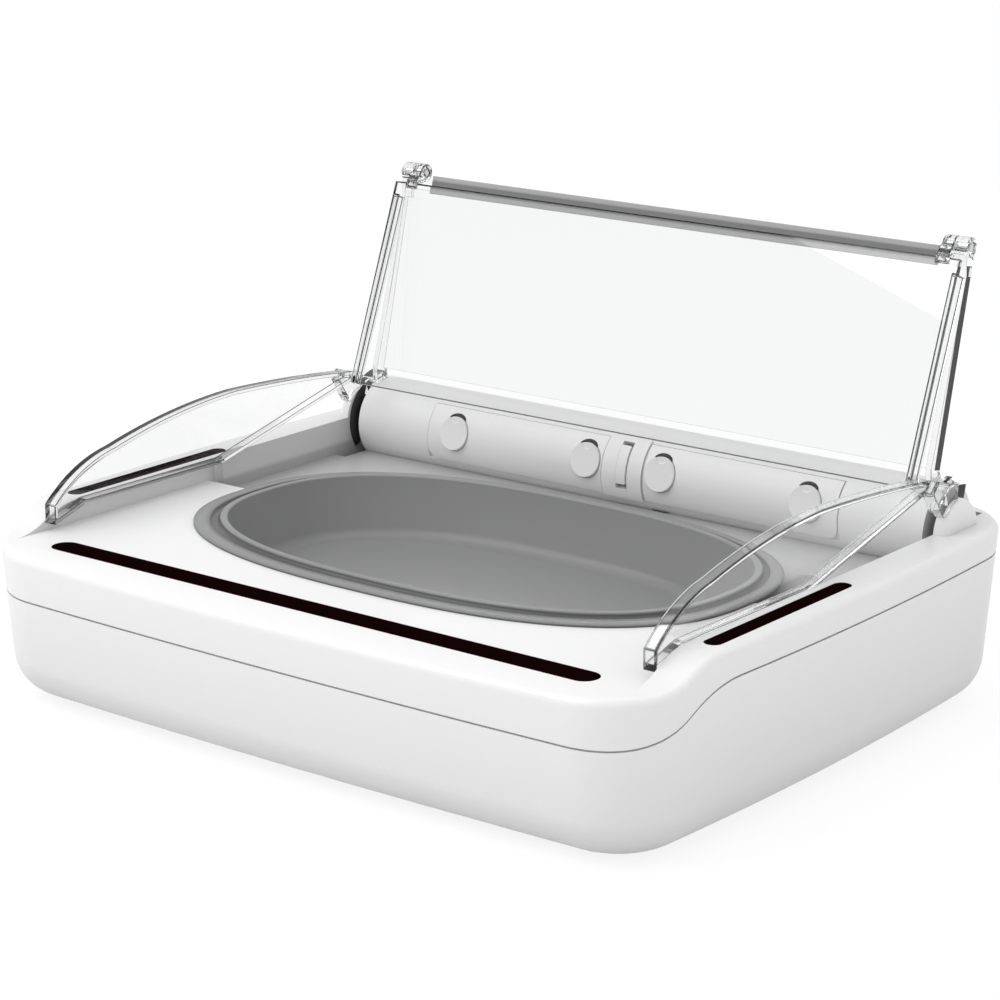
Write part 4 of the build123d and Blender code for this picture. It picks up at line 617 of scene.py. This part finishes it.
@dataclass
class Barrel(Assembly):
    """The cylinder that covers the lid's drive, with its covers, caps, humps and release lever, and painted
    shadows.
    """

    nodes: tuple[str, ...] = (
        "barrel_housing", "left_end_cap", "right_end_cap", "left_barrel_cover", "right_barrel_cover",
        "cover_caps", "centre_band", "release_lever",
    )
    finish: Finish | None = BARREL_WHITE
    cover_radius: float = 0.0173
    cap_radius: float = 0.00675
    cap_angle: float = 75.5
    cap_inner_x: float = 0.0174
    cap_shadow_width: float = 0.0016
    cap_shadow_spread: float = 36.0
    cap_shadow_height: float = 0.0002
    cap_shadow_end: float = 0.02
    slot_shade_radii: tuple[float, float] = (0.0078, 0.0168)
    slot_shade_angles: tuple[float, float] = (-15.0, 128.0)
    slot_shade_thick: float = 0.0003
    slot_shade_gap: float = 0.00005
    steps: int = 40

    def on_barrel(self, x: np.ndarray, radius: np.ndarray, angle: np.ndarray) -> np.ndarray:
        """Places points round the lid's hinge axis.

        A point lies the radius times the angle's sine in front of the axis, and the radius times its cosine
        above it.

        Args:
            x: Places along the axis.
            radius: Distances from the axis.
            angle: Angles in radians, from the top toward the front.

        Returns:
            The points, with a last axis of three.
        """
        joints = self.frame["record"]["behaviour"]["joints"]
        _, y, z = next(joint["pos_m"] for joint in joints if joint["name"] == "rear_lid_hinge")
        x, radius, angle = np.broadcast_arrays(x, radius, angle)
        return np.stack([x, y - radius * np.sin(angle), z + radius * np.cos(angle)], axis=-1)

    def cap_shadow(self, name: str, middle_x: float) -> None:
        """Makes the painted shadow above one cap: a thin dark crescent laid on the curved cover, where the
        notch is in shade.

        Its inner edge is the cap's circle, over the spread either way from the top. Its width falls off as a
        half ellipse, the square root of 1 minus the squared share of the spread, down to a small end.

        Args:
            name: The piece's name.
            middle_x: The middle of the cap, along the barrel.
        """
        spread = np.linspace(-1, 1, self.steps)
        turn = np.radians(self.cap_shadow_spread) * spread
        width = self.cap_shadow_width * np.sqrt(np.clip(1 - spread ** 2, self.cap_shadow_end, 1))
        inner = np.full_like(width, self.cap_radius)
        reach = np.stack([inner, inner + width, inner + width, inner], axis=-1)
        high = self.cover_radius + self.cap_shadow_height * np.array([-1, -1, 1, 1])
        x = middle_x + reach * np.sin(turn)[:, None]
        angle = math.radians(self.cap_angle) - reach * np.cos(turn)[:, None] / self.cover_radius
        piece = bpy.data.objects.new(name, ring_surface(name, self.on_barrel(x, high, angle)))
        # The painted shadow takes the matte black finish.
        link(piece, self.body("cover_caps"), "black_plastic")

    def slot_shade(self, name: str, side: int) -> None:
        """Makes the painted shade in one slot that a lid arm turns in: a thin dark sheet on the rail's inner
        face, where the deep slot is in shade.

        It is a flat sector: a rectangle, the two radii by the thickness, turned through the liner's angles.

        Args:
            name: The piece's name.
            side: -1 on the left, 1 on the right.
        """
        angle = np.radians(np.linspace(*self.slot_shade_angles, self.steps))[:, None]
        inner, outer = self.slot_shade_radii
        face = abs(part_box("left_end_cap")[1][0]) - self.slot_shade_gap
        x = side * np.array([face - self.slot_shade_thick, face - self.slot_shade_thick, face, face])
        radius = np.array([inner, outer, outer, inner])
        piece = bpy.data.objects.new(name, ring_surface(name, self.on_barrel(x, radius, angle)))
        # The painted shade takes the matte black finish.
        link(piece, self.body("left_end_cap"), "black_plastic")

    def build(self) -> None:
        """The softened nodes, the painted shadows above the caps and the painted shade in the arm slots."""
        super().build()
        cap_outer_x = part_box("cover_caps")[1][0] - self.cap_radius
        for name, side in (("left", -1), ("right", 1)):
            # Painted shadows above the caps, and painted shade in the arm slots.
            self.cap_shadow(name + "_outer_cap_shadow", side * cap_outer_x)
            self.cap_shadow(name + "_inner_cap_shadow", side * self.cap_inner_x)
            self.slot_shade(name + "_slot_painted_shade", side)


@dataclass
class Windows(Assembly):
    """The dark infrared windows."""

    nodes: tuple[str, ...] = ("front_sensor_window", "left_sensor_window", "right_sensor_window")
    edge: Edge = Edge.FINE


@dataclass
class Bowl(Assembly):
    """The sunk bowl: rings of superellipses, from the middle of the floor out over the lip and back below.

    The lip's inset is from the flange's outer edge along X and Y. The floor's and the underside's insets are
    from the lip's inner edge. The shares run from 0 on that edge to 1 on the flange's outer edge.
    """

    power: float = 2.5
    around: int = 256
    arc_steps: int = 8
    lip_inset: tuple[float, float] = (0.0105, 0.009)
    lip_shift: float = 0.002
    lip_rise: float = 0.0021
    lip_width: float = 0.002
    lip_round: float = 0.0007
    lip_lean: float = 0.2
    depth: float = 0.0216
    wall: float = 0.002
    wall_lean: float = 72.0
    taper: float = 0.0085
    foot_round: float = 0.006
    floor_insets: tuple[float, ...] = (0.051, 0.040, 0.030, 0.020)
    under_insets: tuple[float, ...] = (0.020, 0.035, 0.051)
    groove_depth: float = 0.0014
    groove_shares: tuple[float, float] = (0.25, 0.46)
    step_height: float = 0.0004
    step_shares: tuple[float, ...] = (0.49, 0.70, 0.85, 0.985)
    edge_height: float = 0.0009
    edge_straight: float = 0.7
    seat_share: float = 0.1

    def ring(self, grow: float, toward_edge: float, height: float) -> np.ndarray:
        """Works out one superellipse of points.

        At each turn, the cosine and the sine keep their signs and are raised to 2 over the power. The point
        lies half the length times the first, and half the width times the second, from the middle.

        Args:
            grow: How far the ring lies outside the lip's inner edge, in metres.
            toward_edge: 0 on the lip, 1 on the flange's outer edge.
            height: The ring's height.

        Returns:
            The points, as an array of points by three.
        """
        low, high = (np.array(corner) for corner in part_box("bowl"))
        flange = (high - low)[:2] / 2
        lip = flange - np.array(self.lip_inset)
        half = lip + (flange - lip) * toward_edge + grow
        middle_y = (low[1] + high[1]) / 2 + self.lip_shift * (1 - toward_edge)
        turn = np.linspace(0, 2 * math.pi, self.around, endpoint=False)
        share = 2 / self.power
        x = half[0] * np.sign(np.cos(turn)) * np.abs(np.cos(turn)) ** share
        y = half[1] * np.sign(np.sin(turn)) * np.abs(np.sin(turn)) ** share
        return np.stack([x, y + middle_y, np.full_like(x, height)], axis=-1)

    def arc(self, start: float, end: float) -> np.ndarray:
        """Angles in radians between two angles in degrees."""
        return np.radians(np.linspace(start, end, self.arc_steps))

    def foot(self, grow: float, bottom: float, angles: np.ndarray) -> list[np.ndarray]:
        """The round between the floor and the wall: an arc of the foot's radius that rests on the bottom.

        Args:
            grow: How far the wall's surface lies outside its inner one.
            bottom: The height of the floor's surface.
            angles: Angles in radians, from straight down toward the wall.

        Returns:
            The rings on the arc.
        """
        middle = grow - self.taper - self.foot_round
        rise = bottom + self.foot_round
        return [self.ring(middle + self.foot_round * math.sin(a), 0, rise - self.foot_round * math.cos(a))
                for a in angles]

    def lip(self, top: float) -> list[np.ndarray]:
        """The raised lip: a quarter round up its inner side, a flat, and a quarter round down its outer side.

        Args:
            top: The lip's height.

        Returns:
            The rings over the lip.
        """
        size = self.lip_round
        inner = -self.lip_lean * size
        outer = self.lip_width - size
        low = top - size
        up = [self.ring(inner - size * math.cos(a), 0, low + size * math.sin(a)) for a in self.arc(0, 90)]
        down = [self.ring(outer + size * math.sin(a), 0, low + size * math.cos(a)) for a in self.arc(0, 90)]
        return up + down

    def build(self) -> None:
        """The bowl as one closed surface, with painted shade in the groove round its lip."""
        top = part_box("bowl")[1][2]
        floor = top - self.depth
        under = floor - self.wall
        deck = top - self.lip_rise
        crest = deck + self.edge_height
        inside = [self.ring(-inset, 0, floor) for inset in self.floor_insets]
        inside += self.foot(0, floor, self.arc(0, self.wall_lean)) + self.lip(top)
        groove = [self.ring(0, share, crest - self.groove_depth / 2)
                  for share in np.linspace(*self.groove_shares, self.arc_steps)]
        flange = [self.ring(0, share, crest + self.step_height * (1 - share)) for share in self.step_shares]
        flange += [self.ring(0, 1, deck + self.edge_height * self.edge_straight), self.ring(0, 1, deck)]
        below = [self.ring(self.wall, self.seat_share, deck), self.ring(self.wall, 0, deck - self.wall)]
        below += self.foot(self.wall, under, self.arc(self.wall_lean, 0))
        below += [self.ring(-inset, 0, under) for inset in self.under_insets]
        mesh = ring_surface("bowl_shell", np.stack(inside + groove + flange + below))
        link(bpy.data.objects.new("bowl_shell", mesh), self.body("bowl"), self.slot("bowl"), "bowl")
        # The groove's faces take the darker grey of the painted shade.
        mesh.materials.append(GROOVE_SHADE.material())
        start = len(inside) - 1
        end = start + len(groove) + 1
        choice = np.zeros(len(mesh.polygons), dtype=np.int32)
        choice[start * self.around:end * self.around] = 1
        mesh.polygons.foreach_set("material_index", choice)


@dataclass
class Guides(Assembly):
    """The two clear arched walls at the sides of the lid's path."""

    nodes: tuple[str, ...] = ("left_side_guide", "right_side_guide")
    edge: Edge = Edge.ROUND


@dataclass
class Lid(Assembly):
    """The two clear lid panels, their grey strip, pins and pegs."""

    nodes: tuple[str, ...] = ("rear_lid_panel", "front_lid_panel", "fold_strip", "fold_pins", "guide_pegs")
    edge: Edge = Edge.ROUND


@dataclass
class Drive(Assembly):
    """The shaft, gears, motor and their frame, with the release lever's pin."""

    nodes: tuple[str, ...] = (
        "drive_shaft", "left_drive_hub", "right_drive_hub", "shaft_bushes", "drive_gear", "idler_gear",
        "idler_axle", "motor_pinion", "gear_frame", "gear_motor", "lever_pin",
    )
    edge: Edge = Edge.FINE


@dataclass
class Power(Assembly):
    """The cells with their contacts, trays and doors."""

    nodes: tuple[str, ...] = (
        "c_cells", "battery_contacts", "left_battery_tray", "right_battery_tray", "left_battery_door",
        "right_battery_door",
    )


@dataclass
class Electronics(Assembly):
    """The boards and what they carry."""

    nodes: tuple[str, ...] = (
        "control_board", "board_components", "front_sensor_board", "side_sensor_boards", "sensor_leds",
        "button_board", "tactile_switches",
    )
    edge: Edge = Edge.FINE


@dataclass
class Controls(Assembly):
    """The rear buttons, switch and their plate."""

    nodes: tuple[str, ...] = ("control_panel", "open_close_button", "mode_button", "delay_switch")


@dataclass
class Underside(Assembly):
    """The rubber feet and the casing's screws."""

    nodes: tuple[str, ...] = ("rubber_feet", "case_screws")


# ---------------------------------------------------------------- studio


@dataclass(frozen=True)
class Lamp:
    """One square soft lamp, with its place and size in metres and its power in watts."""

    name: str
    place: Triple
    size: float
    power: float


@dataclass
class Studio:
    """Floor, lamps, world and camera."""

    floor_size: float = 6.0
    floor_shade: float = 0.98
    floor_roughness: float = 0.9
    floor_glow: float = 1.04
    floor_glow_share: float = 0.82
    world_strength: float = 0.75
    target: Triple = (0.0272, -0.0332, 0.0853)
    azimuth: float = 38.03
    elevation: float = 15.806
    distance: float = 1.0751
    focal: float = 111.9
    sensor_width: float = 36.0
    nearest: float = 0.05
    lamps: tuple[Lamp, ...] = (
        Lamp("key", place=(-0.9, -0.9, 1.5), size=1.4, power=14.0),
        Lamp("top", place=(0.1, 0.2, 1.6), size=1.2, power=3.5),
    )

    def aimed(self, data: bpy.types.ID, place: Vector) -> bpy.types.Object:
        """Puts a lamp or a camera in the scene, facing the middle of the object.

        Args:
            data: The lamp's or camera's data, whose name the new object takes.
            place: Where it stands.

        Returns:
            The new object.
        """
        thing = bpy.data.objects.new(data.name, data)
        thing.location = place
        thing.rotation_mode = "QUATERNION"
        thing.rotation_quaternion = (Vector(self.target) - place).to_track_quat("-Z", "Y")
        bpy.context.scene.collection.objects.link(thing)
        return thing

    def camera(self) -> None:
        """The camera, by its angle round the target and its distance."""
        turn, rise = math.radians(self.azimuth), math.radians(self.elevation)
        back = Vector((math.sin(turn) * math.cos(rise), -math.cos(turn) * math.cos(rise), math.sin(rise)))
        data = bpy.data.cameras.new("camera")
        data.lens = self.focal
        data.sensor_width = self.sensor_width
        data.clip_start = self.nearest
        bpy.context.scene.camera = self.aimed(data, Vector(self.target) + back * self.distance)

    def floor(self) -> None:
        """A pale floor that shows white and keeps the object's shadow."""
        half = self.floor_size / 2
        mesh = bpy.data.meshes.new("floor")
        corners = [(-half, -half, 0), (half, -half, 0), (half, half, 0), (-half, half, 0)]
        mesh.from_pydata(corners, [], [(0, 1, 2, 3)])
        piece = bpy.data.objects.new("floor", mesh)
        bpy.context.scene.collection.objects.link(piece)
        made = bpy.data.materials.new("floor_white")
        made.use_nodes = True
        tree = made.node_tree
        shader = tree.nodes["Principled BSDF"]
        shader.inputs["Base Color"].default_value = (*[self.floor_shade] * 3, 1.0)
        shader.inputs["Roughness"].default_value = self.floor_roughness
        glow = new_node(tree, "ShaderNodeEmission", Color=PURE_WHITE, Strength=self.floor_glow)
        seen = ray_mask(tree, "Is Camera Ray", "Is Glossy Ray", "Is Transmission Ray")
        share = new_node(tree, "ShaderNodeMath", operation="MULTIPLY")
        share.inputs[1].default_value = self.floor_glow_share
        tree.links.new(seen, share.inputs[0])
        mix_into(tree.nodes["Material Output"].inputs["Surface"], share.outputs[0], shader, glow)
        mesh.materials.append(made)

    def world(self) -> None:
        """Soft white surroundings; the camera and clear plastic see plain white."""
        world = bpy.data.worlds.new("surroundings")
        bpy.context.scene.world = world
        world.use_nodes = True
        tree = world.node_tree
        soft = tree.nodes["Background"]
        soft.inputs["Color"].default_value = PURE_WHITE
        soft.inputs["Strength"].default_value = self.world_strength
        plain = new_node(tree, "ShaderNodeBackground", Color=PURE_WHITE, Strength=1.0)
        seen = ray_mask(tree, "Is Camera Ray", "Is Transmission Ray")
        mix_into(tree.nodes["World Output"].inputs["Surface"], seen, soft, plain)

    def light(self) -> None:
        """Large soft lamps, each aimed at the middle of the object."""
        for lamp in self.lamps:
            data = bpy.data.lights.new(lamp.name, "AREA")
            data.size = lamp.size
            data.energy = lamp.power
            self.aimed(data, Vector(lamp.place))

    def build(self) -> None:
        """Everything round the object."""
        self.camera()
        self.floor()
        self.world()
        self.light()
        bpy.context.scene.view_settings.view_transform = "Standard"


def main() -> None:
    """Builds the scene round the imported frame."""
    logging.basicConfig(level=logging.INFO, format="%(message)s")
    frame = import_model()
    for group in (Casing, Barrel, Windows, Bowl, Guides, Lid, Drive, Power, Electronics, Controls, Underside):
        group(frame).build()
    Studio().build()


if __name__ == "__main__":
    main()
